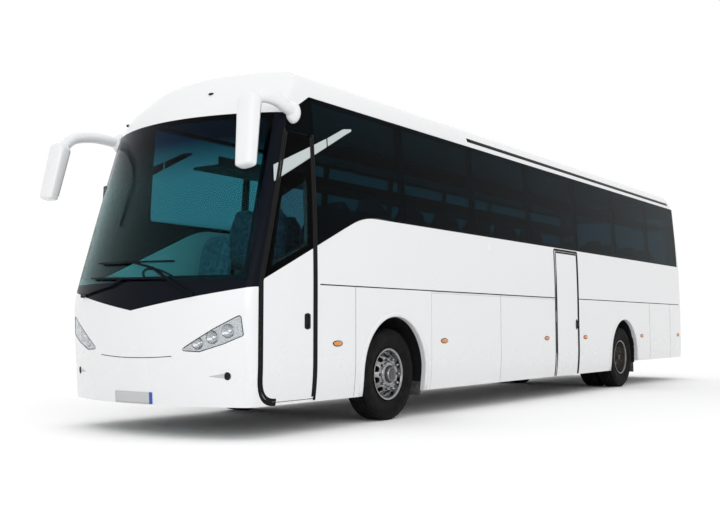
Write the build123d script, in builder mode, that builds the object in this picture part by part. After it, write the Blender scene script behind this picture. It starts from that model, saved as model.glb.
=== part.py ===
from build123d import *
import math
import os

os.makedirs("parts", exist_ok=True)

# Overall sizes of the coach: front faces -Y, door side is +X, ground at Z 0
LENGTH = 13100.0
WIDTH = 2550.0
FRONT_OVERHANG = 2700.0
REAR_OVERHANG = 3300.0

# Heights of the body lines
SKIRT_Z = 300.0
TAIL_SKIRT_Z = 430.0
TUCK_Z = 700.0
NOSE_Z = 1190.0
TUMBLE_Z = 1300.0
BELT_Z = 1440.0
GLASS_Z = 2205.0
SCREEN_LOW_Z = 1470.0
SCREEN_TOP_Z = 3125.0
EAVE_Z = 3358.0
FLOOR_Z = 1400.0
DRIVER_Z = 1000.0
BAY_Z = 440.0

# Form of the body section, nose and tail
TUCK_IN = 30.0
EAVE_IN = 95.0
SHOULDER_R = 330.0
CROWN_R = 11000.0
CAP_OVER = 12.0
CORNER_R = 115.0
NOSE = {
    "bow_r": 2730.0, "chin": 3.5, "bend_z": NOSE_Z,
    "bend_r": 1050.0, "lean": 15.0, "head_z": SCREEN_TOP_Z,
}
TAIL = {
    "bow_r": 8000.0, "chin": 0.0, "bend_z": 2050.0,
    "bend_r": 3000.0, "lean": 9.5, "head_z": 3450.0,
}

# Wall build-up and clearances
WALL = 50.0
GLASS = 8.0
FRAME_LAP = 45.0
FIT = 0.3
RUN = 8.0
BARREL_R = 10.0
BARREL_NECK = 18.0
DECK = 60.0

# Wheels, axles and arches
TYRE_R = 508.0
TYRE_W = 290.0
RIM_R = 286.0
RIM_W = 240.0
RIM_T = 16.0
FRONT_WHEEL_IN = 225.0
REAR_WHEEL_IN = 203.0
TWIN_PITCH = 330.0
KINGPIN_IN = 345.0
KINGPIN_R = 24.0
EYE_R = 50.0
EYE_H = 120.0
LUG_H = 50.0
SPINDLE_R = 45.0
HUB_R = 150.0
ARCH_R = 615.0
ARCH_Z = 530.0
LINER_GAP = 15.0
LINER_T = 8.0
LINER_IN_X = 480.0
RAIL_X = 400.0
RAIL_W = 90.0
RAIL_Z = 640.0
RAIL_H = 150.0

# Places along the coach, from the front axle, and for the rear ones from the rear axle or the tail
DOOR_REAR = -1450.0
DOOR_W = 800.0
DOOR_LOW_Z = 335.0
DOOR_TOP_Z = 2950.0
DOOR_TOE_R = 230.0
PILLAR_KINK_Z = 1460.0
PILLAR_SLOPE = 0.27
CAP_REAR = -1150.0
CAP_KNEE = -1450.0
GLASS_KNEE = -850.0
GLASS_KNEE_Z = 2095.0
GLASS_CREST = -100.0
FLOOR_FRONT = -760.0
BAY_FRONT = 752.0
BAY_SHARE = 0.5046
MID_POST = 30.0
MID_DOOR_AT = 2820.0
MID_DOOR_W = 838.0
MID_DOOR_TOP_Z = 2166.0
RIGHT_SHARE = 0.5
RIGHT_BAY_AT = 1050.0
TAIL_CAP = 270.0
ROOF_TAIL = 600.0

# Glazing, mask, lamps and tail openings
PANE_COUNT = 7
PANE_GAP = 6.0
MASK_MID_Z = 1191.0
MASK_EDGE_Z = 1405.0
MASK_RISE = 100.0
SCREEN_LOW_IN = 70.0
SCREEN_TOP_IN = 145.0
SCREEN_R = 90.0
LENS_T = 4.0
HEADLAMP = ((685, 815), (348, 1012), (90, 1148), (72, 958), (254, 878), (481, 806))
HEADLAMP_R = 22.0
BOWL_DEEP = 34.0
LAMP_BOWLS = ((500, 884, 58), (356, 940, 62), (209, 998, 64))
FOG_IN = 225.0
FOG_Z = 586.0
FOG_R = 36.0
REAR_GLASS_IN = 235.0
REAR_GLASS_Z = 3240.0
TAIL_DEPTH = 260.0
TAIL_LAMP_IN = 265.0
TAIL_LAMP_W = 150.0
TAIL_LAMP_Z = 800.0
TAIL_LAMP_H = 640.0
TAIL_LAMP_T = 40.0
LID_IN = 395.0
LID_LOW_Z = 620.0
LID_TOP_Z = 1820.0
LID_AXIS_IN = 4.0
LID_BARREL = 350.0
LOUVRE = {"z": 890.0, "pitch": 57.0, "count": 7, "high": 24.0, "side_in": 100.0}
MID_HINGE_Z = (560.0, 1180.0)
MID_HINGE_H = 160.0

# Front door linkage: upright column at the front edge, two arms, lugs on the door
ARM_IN = 90.0
ARM_FROM = 150.0
ARM_L = 420.0
ARM_T = 40.0
ARM_H = 50.0
ARM_ZS = (700.0, 1280.0)
COLUMN_R = 26.0
PIN_R = 12.0
LUG_T = 14.0
DOOR_WINDOW = ((-2090.0, 1640.0), (-1560.0, 1860.0), (-1560.0, 2850.0), (-1790.0, 2850.0))

# Steps: top height of each tread with its inner and outer edge from the outer skin
STEP_T = 30.0
FRONT_TREADS = ((360.0, 375.0, 85.0), (590.0, 575.0, 375.0), (800.0, 775.0, 575.0))
MID_TREADS = ((440.0, 325.0, 85.0), (680.0, 525.0, 325.0), (920.0, 725.0, 525.0), (1160.0, 925.0, 725.0))
STAIR_IN = 775.0
DRIVER_FLOOR_AT = 440.0

# Cabin fittings
SEAT_IN = 555.0
SEAT_W = 940.0
SEAT_D = 440.0
SEAT_RISE = 330.0
SEAT_T = 120.0
BACK_H = 700.0
BACK_T = 100.0
BACK_RAKE = 90.0
SEAT_PITCH = 830.0
SEAT_FIRST = -420.0
SEAT_END = 700.0
DRIVER_X = -620.0
DASH_AT = 500.0
DASH_D = 420.0
DASH_TOP_Z = 1430.0
WHEEL_RIM_R = 235.0
RACK_Z = 2930.0
RACK_IN = 555.0
RACK_T = 30.0
RACK_LIP = 120.0

# Running gear and outer fittings
BEAM_W = 110.0
BEAM_LOW_Z = 400.0
BEAM_TOP_Z = 490.0
AXLE_R = 70.0
DIFF_R = 200.0
SADDLE_T = 40.0
SADDLE_L = 820.0
SPRING_R = 110.0
SPRING_AT = 330.0
ENGINE_LOW_Z = 560.0
ENGINE_TOP_Z = 1230.0
ENGINE_AT = 760.0
FLAP_T = 8.0
HATCH = {"wide": 720.0, "long": 720.0, "corner": 90.0, "high": 22.0, "taper": 8.0}
HATCH_FRONT = 600.0
HATCH_REAR = 2800.0
MIRROR_FOOT = (-1740.0, 3222.0)
MIRROR_ARM_R = 55.0
MIRROR_HEAD = (230.0, 150.0, 640.0)
MIRRORS = (
    {"side": 1, "out": -25.0, "y": -2420.0, "z": 2850.0, "elbow": 3290.0},
    {"side": -1, "out": 25.0, "y": -2600.0, "z": 2690.0, "elbow": 3150.0},
)
WIPER_LIFT = 14.0
WIPER_T = 20.0
WIPERS = (
    {"pivot": (724.0, 1345.0), "joint": (233.0, 1600.0), "blade_at": (-60.0, 1665.0),
     "blade": ((-642.0, 1675.0), (471.0, 1655.0))},
    {"pivot": (-923.0, 1353.0), "joint": (-330.0, 1440.0), "blade_at": (-150.0, 1508.0),
     "blade": ((-752.0, 1525.0), (440.0, 1492.0))},
)
TOW_R = 22.0
TOW_W = 120.0
TOW_L = 160.0
TOW_T = 40.0
AISLE_STEP_W = 700.0
AISLE_STEP_D = 300.0
RAIL_NOSE = 330.0
RAIL_TAIL = 300.0
BULKHEAD = 40.0
AXLE_MEMBER = 420.0
REAR_MEMBER = 590.0
NOSE_MEMBER_W = 1500.0
TAIL_MEMBER_W = 1700.0
LINER_LEG = 130.0
MUD_LOW_Z = 230.0
KNUCKLE_T = 30.0
DISC_R = 200.0
DISC_T = 40.0
SPINDLE_IN = 105.0
AXLE_IN = 435.0
HUB_T = 60.0
FRONT_DISC = 60.0
FRONT_HUB = 100.0
HAND_AT = 205.0
HAND_R = 27.0
HAND_COUNT = 10
ENGINE_END = 420.0
DRIVER_GAP = 540.0
DASH_IN = 195.0
BINNACLE_W = 600.0
BINNACLE_H = 120.0
WHEEL_TILT = 35.0
WHEEL_TUBE_R = 14.0
BOSS_R = 55.0
SPOKE_W = 40.0
COLUMN_L = 330.0
RACK_END = 250.0
MIRROR_OUT = 60.0
MIRROR_LEAN = 12.0

# Places that follow from the sizes above
half = WIDTH / 2
nose_y = -LENGTH / 2
tail_y = LENGTH / 2
axle_f = nose_y + FRONT_OVERHANG
axle_r = tail_y - REAR_OVERHANG
hub_z = TYRE_R
tuck_r = ((TUCK_Z - SKIRT_Z) ** 2 + TUCK_IN**2) / (2 * TUCK_IN)
wall_r = ((EAVE_Z - TUMBLE_Z) ** 2 + EAVE_IN**2) / (2 * EAVE_IN)
wall_deg = math.degrees(math.asin((EAVE_Z - TUMBLE_Z) / wall_r))
wall_c = (half - wall_r, TUMBLE_Z)
shoulder_c = (
    half - EAVE_IN - SHOULDER_R * math.cos(math.radians(wall_deg)),
    EAVE_Z - SHOULDER_R * math.sin(math.radians(wall_deg)),
)
crown_deg = math.degrees(math.acos(shoulder_c[0] / (CROWN_R - SHOULDER_R)))
crown_z = shoulder_c[1] - (CROWN_R - SHOULDER_R) * math.sin(math.radians(crown_deg))
roof_z = crown_z + CROWN_R
nose_axis_y = nose_y + NOSE["bow_r"]
tail_axis_y = tail_y - TAIL["bow_r"]
door_rear_y = axle_f + DOOR_REAR
door_front_y = door_rear_y - DOOR_W
corner_y = door_front_y - RUN
cap_rear_y = axle_f + CAP_REAR
cap_knee_y = axle_f + CAP_KNEE
floor_front_y = axle_f + FLOOR_FRONT
mid_front_y = axle_r - MID_DOOR_AT
mid_rear_y = mid_front_y + MID_DOOR_W
bay_front_y = axle_f + BAY_FRONT
bay_end_y = axle_r - RIGHT_BAY_AT
left_end_y = mid_front_y - MID_POST
left_mid_y = bay_front_y + BAY_SHARE * (left_end_y - bay_front_y)
right_mid_y = bay_front_y + RIGHT_SHARE * (bay_end_y - bay_front_y)
tail_split_y = tail_y - TAIL_CAP
roof_split_y = tail_y - ROOF_TAIL
front_wheel_x = half - FRONT_WHEEL_IN
rear_wheel_x = half - REAR_WHEEL_IN
kingpin_x = half - KINGPIN_IN
spindle_end_x = half - SPINDLE_IN
axle_end_x = half - AXLE_IN
screen_low_x = half - SCREEN_LOW_IN
screen_top_x = half - SCREEN_TOP_IN
fog_x = half - FOG_IN
rear_glass_x = half - REAR_GLASS_IN
tail_lamp_x = half - TAIL_LAMP_IN
lid_half = half - LID_IN
stair_x = half - STAIR_IN
seat_x = half - SEAT_IN
rack_x = half - RACK_IN
dash_x = half - DASH_IN
front_treads = [(z, half - a, half - b) for z, a, b in FRONT_TREADS]
mid_treads = [(z, half - a, half - b) for z, a, b in MID_TREADS]
inside_x = half - WALL - FIT


def wall_x(z, inset):
    if z < TUCK_Z:
        return half - tuck_r + math.sqrt((tuck_r - inset) ** 2 - (TUCK_Z - z) ** 2)
    if z < TUMBLE_Z:
        return half - inset
    return wall_c[0] + math.sqrt((wall_r - inset) ** 2 - (z - TUMBLE_Z) ** 2)


def pillar_y(z):
    return corner_y + max(0.0, z - PILLAR_KINK_Z) * PILLAR_SLOPE


# Radius of the nose bow at a height on the chin
def nose_r(z):
    chin = math.radians(NOSE["chin"])
    foot_r = NOSE["bow_r"] - NOSE["bend_r"] * (1 - math.cos(chin))
    foot_z = NOSE["bend_z"] - NOSE["bend_r"] * math.sin(chin)
    return foot_r - max(0.0, foot_z - z) * math.tan(chin)


# Body cross-section seen along the coach, at a depth below the outer skin
def body_face(inset, low_z):
    tuck_deg = math.degrees(math.asin((TUCK_Z - low_z) / (tuck_r - inset)))
    low_x = wall_x(low_z, inset)
    with BuildSketch() as face:
        with BuildLine():
            Line((0, low_z), (low_x, low_z))
            CenterArc((half - tuck_r, TUCK_Z), tuck_r - inset, -tuck_deg, tuck_deg)
            Line((half - inset, TUCK_Z), (half - inset, TUMBLE_Z))
            CenterArc(wall_c, wall_r - inset, 0, wall_deg)
            CenterArc(shoulder_c, SHOULDER_R - inset, wall_deg, crown_deg - wall_deg)
            CenterArc((0, crown_z), CROWN_R - inset, crown_deg, 90 - crown_deg)
            mirror(about=Plane.YZ)
        make_face()
    return face.sketch


# One side strip of that section between two depths and two heights
def wall_face(side, outer, inner, low_z, high_z):
    with BuildSketch() as face:
        add(body_face(outer, SKIRT_Z))
        add(body_face(inner, SKIRT_Z - WALL), mode=Mode.SUBTRACT)
        with Locations((side * half, (low_z + high_z) / 2)):
            Rectangle(half, high_z - low_z, mode=Mode.INTERSECT)
    return face.sketch


# Roof strip of the section above the eaves
def roof_face(outer, inner):
    with BuildSketch() as face:
        add(body_face(outer, SKIRT_Z))
        add(body_face(inner, SKIRT_Z), mode=Mode.SUBTRACT)
        with Locations((0, EAVE_Z + WIDTH / 2)):
            Rectangle(WIDTH, WIDTH, mode=Mode.INTERSECT)
    return face.sketch


# Lengthwise profile of nose or tail: chin line, bend arc, leaning line and roof arc
def end_face(axis_y, way, end, inset, low_z, smooth):
    lean = math.radians(end["lean"])
    chin = -math.radians(end["chin"])
    top_z = roof_z + CAP_OVER
    bend_c = (end["bow_r"] - end["bend_r"], end["bend_z"])
    bend_end = (bend_c[0] + end["bend_r"] * math.cos(lean), bend_c[1] + end["bend_r"] * math.sin(lean))
    head = (bend_end[0] - (end["head_z"] - bend_end[1]) * math.tan(lean), end["head_z"])
    cap_r = (top_z - head[1]) / (1 - math.sin(lean))
    cap_c = (head[0] - cap_r * math.cos(lean), head[1] - cap_r * math.sin(lean))

    def at(centre, radius, angle):
        out = centre[0] + (radius - inset) * math.cos(angle)
        return (axis_y + way * out, centre[1] + (radius - inset) * math.sin(angle))

    def turn(centre, radius, start, stop):
        if smooth:
            points = [at(centre, radius, a) for a in (start, (start + stop) / 2, stop)]
            return ThreePointArc(*points)
        steps = 1 + int((stop - start) / math.radians(25))
        return Polyline(*[at(centre, radius, start + (stop - start) * i / steps) for i in range(steps + 1)])

    foot = at(bend_c, end["bend_r"], chin)
    foot_y = foot[0] + way * (foot[1] - low_z) * math.tan(chin)
    with BuildSketch() as face:
        with BuildLine():
            Polyline(
                at(cap_c, cap_r, math.pi / 2),
                (axis_y, top_z - inset),
                (axis_y, low_z),
                (foot_y, low_z),
                foot,
            )
            turn(bend_c, end["bend_r"], chin, lean)
            Line(at(bend_c, end["bend_r"], lean), at(cap_c, cap_r, lean))
            turn(cap_c, cap_r, lean, math.pi / 2)
        make_face()
    return face.sketch


# Nose of the body as a block at a depth below the skin; the skin itself has rounded corners
def nose_block(inset, low_z, smooth=False):
    with BuildPart() as block:
        with BuildSketch(Plane.XZ.offset(-cap_rear_y)):
            add(body_face(inset, low_z))
        extrude(amount=cap_rear_y - nose_y + WIDTH)
        with BuildSketch(Plane.YZ):
            add(end_face(nose_axis_y, -1, NOSE, inset, low_z, smooth))
        revolve(axis=Axis((0, nose_axis_y, 0), (0, 0, 1)), mode=Mode.INTERSECT)
        if smooth:
            corner = block.edges().filter_by(
                lambda e: e.bounding_box().max.Y < cap_rear_y - 1
                and e.bounding_box().max.Z > low_z + 1
                and not (e.geom_type == GeomType.CIRCLE and e.bounding_box().size.X > half)
            )
            fillet(corner, radius=CORNER_R)
    return block.part


# Tail of the body, made the same way
def tail_block(inset, low_z, smooth=False):
    with BuildPart() as block:
        with BuildSketch(Plane.XZ.offset(-(tail_y + WIDTH))):
            add(body_face(inset, low_z))
        extrude(amount=tail_y + WIDTH - roof_split_y)
        with BuildSketch(Plane.YZ):
            add(end_face(tail_axis_y, 1, TAIL, inset, low_z, smooth))
        revolve(axis=Axis((0, tail_axis_y, 0), (0, 0, 1)), mode=Mode.INTERSECT)
        if smooth:
            corner = block.edges().filter_by(
                lambda e: e.bounding_box().min.Y > roof_split_y + 1
                and e.bounding_box().max.Z > low_z + 1
                and not (e.geom_type == GeomType.CIRCLE and e.bounding_box().size.X > half)
            )
            fillet(corner, radius=CORNER_R)
    return block.part


# Layer of the nose or tail skin between two depths, inside a front-view or rear-view outline
def end_layer(axis_y, way, end, outer, inner, outline, smooth):
    start_y = -(cap_rear_y if way < 0 else tail_y + WALL)
    reach = cap_rear_y - nose_y + WALL if way < 0 else TAIL_DEPTH + WALL
    with BuildPart() as layer:
        with BuildSketch(Plane.YZ):
            add(end_face(axis_y, way, end, outer, SKIRT_Z, smooth))
            add(end_face(axis_y, way, end, inner, SKIRT_Z - WALL, smooth), mode=Mode.SUBTRACT)
        revolve(axis=Axis((0, axis_y, 0), (0, 0, 1)))
        with BuildSketch(Plane.XZ.offset(start_y)):
            add(outline)
        extrude(amount=reach, mode=Mode.INTERSECT)
    return layer.part


def nose_layer(outer, inner, outline, smooth=False):
    return end_layer(nose_axis_y, -1, NOSE, outer, inner, outline, smooth)


def tail_layer(outer, inner, outline):
    return end_layer(tail_axis_y, 1, TAIL, outer, inner, outline, False)


# Side-view outlines, drawn with Y across and Z up
def door_face(grow):
    toe = min(DOOR_TOE_R, DOOR_W / 2)
    slope = (DOOR_TOP_Z + grow - PILLAR_KINK_Z) * PILLAR_SLOPE
    with BuildSketch() as face:
        with BuildLine():
            FilletPolyline(
                (door_rear_y + grow, PILLAR_KINK_Z),
                (door_rear_y + grow, DOOR_LOW_Z - grow),
                (door_front_y - grow, DOOR_LOW_Z - grow),
                (door_front_y - grow, PILLAR_KINK_Z),
                radius=(1.0, toe),
            )
            Polyline(
                (door_front_y - grow, PILLAR_KINK_Z),
                (door_front_y - grow + slope, DOOR_TOP_Z + grow),
                (door_rear_y + grow, DOOR_TOP_Z + grow),
                (door_rear_y + grow, PILLAR_KINK_Z),
            )
        make_face()
    return face.sketch


def box_face(y0, y1, z0, z1, radius=0.0):
    with BuildSketch() as face:
        with Locations(((y0 + y1) / 2, (z0 + z1) / 2)):
            if radius > 0:
                RectangleRounded(y1 - y0, z1 - z0, radius)
            else:
                Rectangle(y1 - y0, z1 - z0)
    return face.sketch


def arch_face(axle_y, radius, low_z):
    with BuildSketch() as face:
        with Locations((axle_y, ARCH_Z)):
            Circle(radius)
        with Locations((axle_y, (ARCH_Z + low_z) / 2)):
            Rectangle(2 * radius, ARCH_Z - low_z)
        with Locations((axle_y, low_z + 2 * radius)):
            Rectangle(2 * radius, 4 * radius, mode=Mode.INTERSECT)
    return face.sketch


# Dark glazing band of a side: rises from the nose, crests above the axle, runs to the tail
def glazing_face(shrink):
    top = EAVE_Z - shrink
    low = GLASS_Z + shrink
    knee_y = axle_f + GLASS_KNEE
    crest_y = axle_f + GLASS_CREST
    knee_z = GLASS_KNEE_Z + shrink
    sill_z = PILLAR_KINK_Z + shrink
    with BuildSketch() as face:
        with BuildLine():
            Line((pillar_y(sill_z) + shrink, sill_z), (knee_y, knee_z))
            TangentArc((knee_y, knee_z), (crest_y, low), tangent=(knee_y - corner_y, knee_z - sill_z))
            Polyline(
                (crest_y, low),
                (tail_split_y - shrink, low),
                (tail_split_y - shrink, top),
                (cap_knee_y + shrink, top),
                (pillar_y(SCREEN_TOP_Z) + shrink, SCREEN_TOP_Z - shrink),
                (pillar_y(sill_z) + shrink, sill_z),
            )
        make_face()
    return face.sketch


# Window panes between pillars: front and rear end of each
pane_start_y = door_rear_y + RUN
pane_ends = [pane_start_y + (tail_split_y - pane_start_y) * i / PANE_COUNT for i in range(PANE_COUNT + 1)]


# Side wall: full-depth strip with wheel arches, doors, flaps and window holes cut
def side_wall(side, doors, flaps):
    x0 = half * 0.6 if side > 0 else -half * 1.2
    front_y = nose_y
    with BuildPart() as wall:
        with BuildSketch(Plane.XZ.offset(-tail_split_y)):
            add(wall_face(side, 0, WALL, SKIRT_Z, EAVE_Z))
        extrude(amount=tail_split_y - front_y)
        with BuildSketch(Plane.YZ.offset(x0)):
            with BuildLine():
                Polyline(
                    (nose_y - WALL, SKIRT_Z - WALL),
                    (corner_y, SKIRT_Z - WALL),
                    (corner_y, PILLAR_KINK_Z),
                    (pillar_y(SCREEN_TOP_Z), SCREEN_TOP_Z),
                    (cap_knee_y, EAVE_Z),
                    (cap_knee_y, EAVE_Z + WALL),
                    (nose_y - WALL, EAVE_Z + WALL),
                    close=True,
                )
            make_face()
            add(arch_face(axle_f, ARCH_R, SKIRT_Z - WALL))
            add(arch_face(axle_r, ARCH_R, SKIRT_Z - WALL))
            add(box_face(axle_r, tail_split_y + WALL, SKIRT_Z - WALL, TAIL_SKIRT_Z))
            for door in doors:
                add(door)
            for y0, y1 in flaps:
                add(box_face(y0, y1, SKIRT_Z - WALL, BELT_Z + BARREL_R + FIT))
            for y0, y1 in zip(pane_ends[:-1], pane_ends[1:]):
                low = GLASS_Z + FRAME_LAP
                add(box_face(y0 + FRAME_LAP, y1 - FRAME_LAP, low, EAVE_Z - FRAME_LAP, 40))
        extrude(amount=half * 0.6, mode=Mode.SUBTRACT)
        add(glass_layer(side, 0, GLASS + FIT, 0), mode=Mode.SUBTRACT)
    return wall.part


# Glazing layer of a side: a thin strip of the body skin inside the glazing outline
def glass_layer(side, outer, inner, shrink):
    x0 = half * 0.6 if side > 0 else -half * 1.2
    with BuildPart() as layer:
        with BuildSketch(Plane.XZ.offset(-(tail_split_y + WALL))):
            add(wall_face(side, outer, inner, BELT_Z, EAVE_Z + FIT))
        extrude(amount=tail_split_y + WALL - nose_y)
        with BuildSketch(Plane.YZ.offset(x0)):
            add(glazing_face(shrink))
        extrude(amount=half * 0.6, mode=Mode.INTERSECT)
    return layer.part


# Doors and luggage flaps of each side
mid_opening = box_face(mid_front_y, mid_rear_y, SKIRT_Z - WALL, MID_DOOR_TOP_Z)
left_flaps = ((bay_front_y, left_mid_y), (left_mid_y, left_end_y))
right_flaps = ((bay_front_y, right_mid_y), (right_mid_y, bay_end_y))


# Finished pieces are labelled and written one by one
def save(part, name):
    part.label = name
    export_step(part, "parts/" + name + ".step")


# Side walls
wall_left = side_wall(1, (door_face(RUN), mid_opening), left_flaps)
save(wall_left, "side_wall_left")
wall_right = side_wall(-1, (), right_flaps)
save(wall_right, "side_wall_right")


# Side panes: the glazing layer cut at each pillar line
def side_panes(side, cut_faces):
    x0 = half * 0.6 if side > 0 else -half * 1.2
    with BuildPart() as panes:
        add(glass_layer(side, 0, GLASS, PANE_GAP / 2))
        with BuildSketch(Plane.YZ.offset(x0)):
            for y in pane_ends[:-1]:
                add(box_face(y - PANE_GAP / 2, y + PANE_GAP / 2, BELT_Z, EAVE_Z + WALL))
            for cut in cut_faces:
                add(cut)
        extrude(amount=half * 0.6, mode=Mode.SUBTRACT)
    return panes.part


glass_left = side_panes(1, (door_face(RUN),))
save(glass_left, "side_glass_left")
glass_right = side_panes(-1, ())
save(glass_right, "side_glass_right")

# Nose skins at the depths that the front panels need
nose_outer = nose_block(0, SKIRT_Z, True)
nose_inner = nose_block(WALL, SKIRT_Z - WALL)


# Front-view outline under the V of the mask, and between V and screen
def mask_line(drop):
    return (
        (-WIDTH, MASK_EDGE_Z + drop + MASK_RISE),
        (-half, MASK_EDGE_Z + drop),
        (0, MASK_MID_Z + drop),
        (half, MASK_EDGE_Z + drop),
        (WIDTH, MASK_EDGE_Z + drop + MASK_RISE),
    )


def below_mask():
    with BuildSketch() as face:
        with BuildLine():
            Polyline(*mask_line(0), (WIDTH, SKIRT_Z - WALL), (-WIDTH, SKIRT_Z - WALL), close=True)
        make_face()
    return face.sketch


# Side-view outline of everything ahead of the corner posts and under the roof cap
def ahead_face(gap):
    with BuildSketch() as face:
        with BuildLine():
            Polyline(
                (nose_y - WIDTH, SKIRT_Z - WALL),
                (corner_y - gap, SKIRT_Z - WALL),
                (corner_y - gap, PILLAR_KINK_Z),
                (pillar_y(SCREEN_TOP_Z) - gap, SCREEN_TOP_Z),
                (nose_y - WIDTH, SCREEN_TOP_Z),
                close=True,
            )
        make_face()
    return face.sketch


# Front-view outline of the windscreen, and the layer of nose skin inside it
def screen_face(shrink):
    low = SCREEN_LOW_Z + shrink
    top = SCREEN_TOP_Z - shrink
    with BuildSketch() as face:
        with BuildLine():
            Polyline(
                (-screen_low_x + shrink, low),
                (screen_low_x - shrink, low),
                (screen_top_x - shrink, top),
                (-screen_top_x + shrink, top),
                close=True,
            )
        make_face()
        if shrink > 1:
            fillet(face.vertices(), radius=SCREEN_R)
    return face.sketch


def headlamp_face(side, shrink):
    with BuildSketch() as face:
        with BuildLine():
            Polyline(*[(side * (half - x), z) for x, z in HEADLAMP], close=True)
        make_face()
        fillet(face.vertices(), radius=HEADLAMP_R)
        if shrink > 0:
            offset(amount=-shrink, mode=Mode.REPLACE)
    return face.sketch


# Front fascia under the mask, with pockets for the head and fog lamps
with BuildPart() as front_fascia:
    add(nose_outer)
    add(nose_inner, mode=Mode.SUBTRACT)
    with BuildSketch(Plane.YZ.offset(-WIDTH)):
        add(ahead_face(0))
    extrude(amount=2 * WIDTH, mode=Mode.INTERSECT)
    with BuildSketch(Plane.XZ.offset(-cap_rear_y)):
        add(below_mask())
    extrude(amount=cap_rear_y - nose_y + WIDTH, mode=Mode.INTERSECT)
    for side in (-1, 1):
        with BuildSketch(Plane.XZ.offset(-corner_y)):
            add(headlamp_face(side, 0))
        extrude(amount=WIDTH, mode=Mode.SUBTRACT)
        with BuildSketch(Plane.XZ.offset(-corner_y)):
            with Locations((side * fog_x, FOG_Z)):
                Circle(FOG_R + FIT)
        extrude(amount=WIDTH, mode=Mode.SUBTRACT)
fascia_panel = front_fascia.solids().sort_by(SortBy.VOLUME)[-1]
save(fascia_panel, "front_fascia")


# Headlamp units behind clear covers, three round bowls each, and fog lamps
def lamp_outlines(shrink):
    with BuildSketch() as face:
        for side in (-1, 1):
            add(headlamp_face(side, shrink))
            with Locations((side * fog_x, FOG_Z)):
                Circle(FOG_R)
    return face.sketch


with BuildPart() as headlamps:
    add(nose_layer(LENS_T + FIT, WALL, lamp_outlines(FIT)))
    for side in (-1, 1):
        for x_in, z, r in LAMP_BOWLS:
            x = half - x_in
            out = math.sqrt((nose_r(z) - LENS_T) ** 2 - x**2)
            facing = Plane(origin=(side * x, nose_axis_y - out, z), z_dir=(side * x, -out, 0))
            with Locations(facing):
                Cylinder(r, 2 * BOWL_DEEP, mode=Mode.SUBTRACT)
save(headlamps.part, "headlamps")

headlamp_lenses = nose_layer(0, LENS_T, lamp_outlines(FIT))
save(headlamp_lenses, "headlamp_lenses")

# Black mask, corner posts and header that carry the windscreen
with BuildPart() as screen_frame:
    add(nose_outer)
    add(nose_inner, mode=Mode.SUBTRACT)
    with BuildSketch(Plane.YZ.offset(-WIDTH)):
        add(ahead_face(0))
    extrude(amount=2 * WIDTH, mode=Mode.INTERSECT)
    with BuildSketch(Plane.XZ.offset(-cap_rear_y)):
        add(below_mask())
    extrude(amount=cap_rear_y - nose_y + WIDTH, mode=Mode.SUBTRACT)
    with BuildSketch(Plane.XZ.offset(-cap_rear_y)):
        add(screen_face(FRAME_LAP))
    extrude(amount=cap_rear_y - nose_y + WIDTH, mode=Mode.SUBTRACT)
    add(nose_layer(-WALL, GLASS + FIT, screen_face(0)), mode=Mode.SUBTRACT)
save(screen_frame.part, "screen_frame")

windscreen = nose_layer(0, GLASS, screen_face(FIT))
save(windscreen, "windscreen")

# Roof cap over the windscreen, and the roof behind it
with BuildPart() as roof_cap:
    add(nose_outer)
    add(nose_inner, mode=Mode.SUBTRACT)
    with BuildSketch(Plane.YZ.offset(-WIDTH)):
        with BuildLine():
            Polyline(
                (nose_y - WIDTH, SCREEN_TOP_Z),
                (pillar_y(SCREEN_TOP_Z), SCREEN_TOP_Z),
                (cap_knee_y, EAVE_Z),
                (cap_rear_y, EAVE_Z),
                (cap_rear_y, roof_z + WIDTH),
                (nose_y - WIDTH, roof_z + WIDTH),
                close=True,
            )
        make_face()
    extrude(amount=2 * WIDTH, mode=Mode.INTERSECT)
save(roof_cap.part, "roof_cap")

with BuildPart() as roof:
    with BuildSketch(Plane.XZ.offset(-roof_split_y)):
        add(roof_face(0, WALL))
    extrude(amount=roof_split_y - cap_rear_y)
save(roof.part, "roof")

# Tail: rear wall with window seat, engine opening and lamp pockets
tail_outer = tail_block(0, SKIRT_Z, True)
tail_inner = tail_block(WALL, SKIRT_Z - WALL)


def rear_glass_face(shrink, radius=0.0):
    return box_face(
        -rear_glass_x + shrink, rear_glass_x - shrink, GLASS_Z + shrink, REAR_GLASS_Z - shrink, radius
    )


def tail_lamp_outlines(shrink):
    with BuildSketch() as face:
        with Locations(
            (-tail_lamp_x, TAIL_LAMP_Z + TAIL_LAMP_H / 2), (tail_lamp_x, TAIL_LAMP_Z + TAIL_LAMP_H / 2)
        ):
            RectangleRounded(TAIL_LAMP_W - 2 * shrink, TAIL_LAMP_H - 2 * shrink, TAIL_LAMP_W / 3)
    return face.sketch


with BuildPart() as rear_wall:
    add(tail_outer)
    add(tail_inner, mode=Mode.SUBTRACT)
    with BuildSketch(Plane.YZ.offset(-WIDTH)):
        with BuildLine():
            Polyline(
                (tail_split_y, TAIL_SKIRT_Z),
                (tail_split_y, EAVE_Z),
                (roof_split_y, EAVE_Z),
                (roof_split_y, roof_z + WIDTH),
                (tail_y + WIDTH, roof_z + WIDTH),
                (tail_y + WIDTH, TAIL_SKIRT_Z),
                close=True,
            )
        make_face()
    extrude(amount=2 * WIDTH, mode=Mode.INTERSECT)
    add(tail_layer(-WALL, GLASS + FIT, rear_glass_face(0)), mode=Mode.SUBTRACT)
    with BuildSketch(Plane.XZ.offset(-(tail_y + WALL))):
        add(rear_glass_face(FRAME_LAP, SCREEN_R))
        add(box_face(-lid_half - RUN, lid_half + RUN, LID_LOW_Z - RUN, LID_TOP_Z + BARREL_R + FIT))
        add(tail_lamp_outlines(0))
    extrude(amount=TAIL_DEPTH + WALL, mode=Mode.SUBTRACT)
save(rear_wall.part, "rear_wall")

rear_window = tail_layer(0, GLASS, rear_glass_face(FIT))
save(rear_window, "rear_window")

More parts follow.
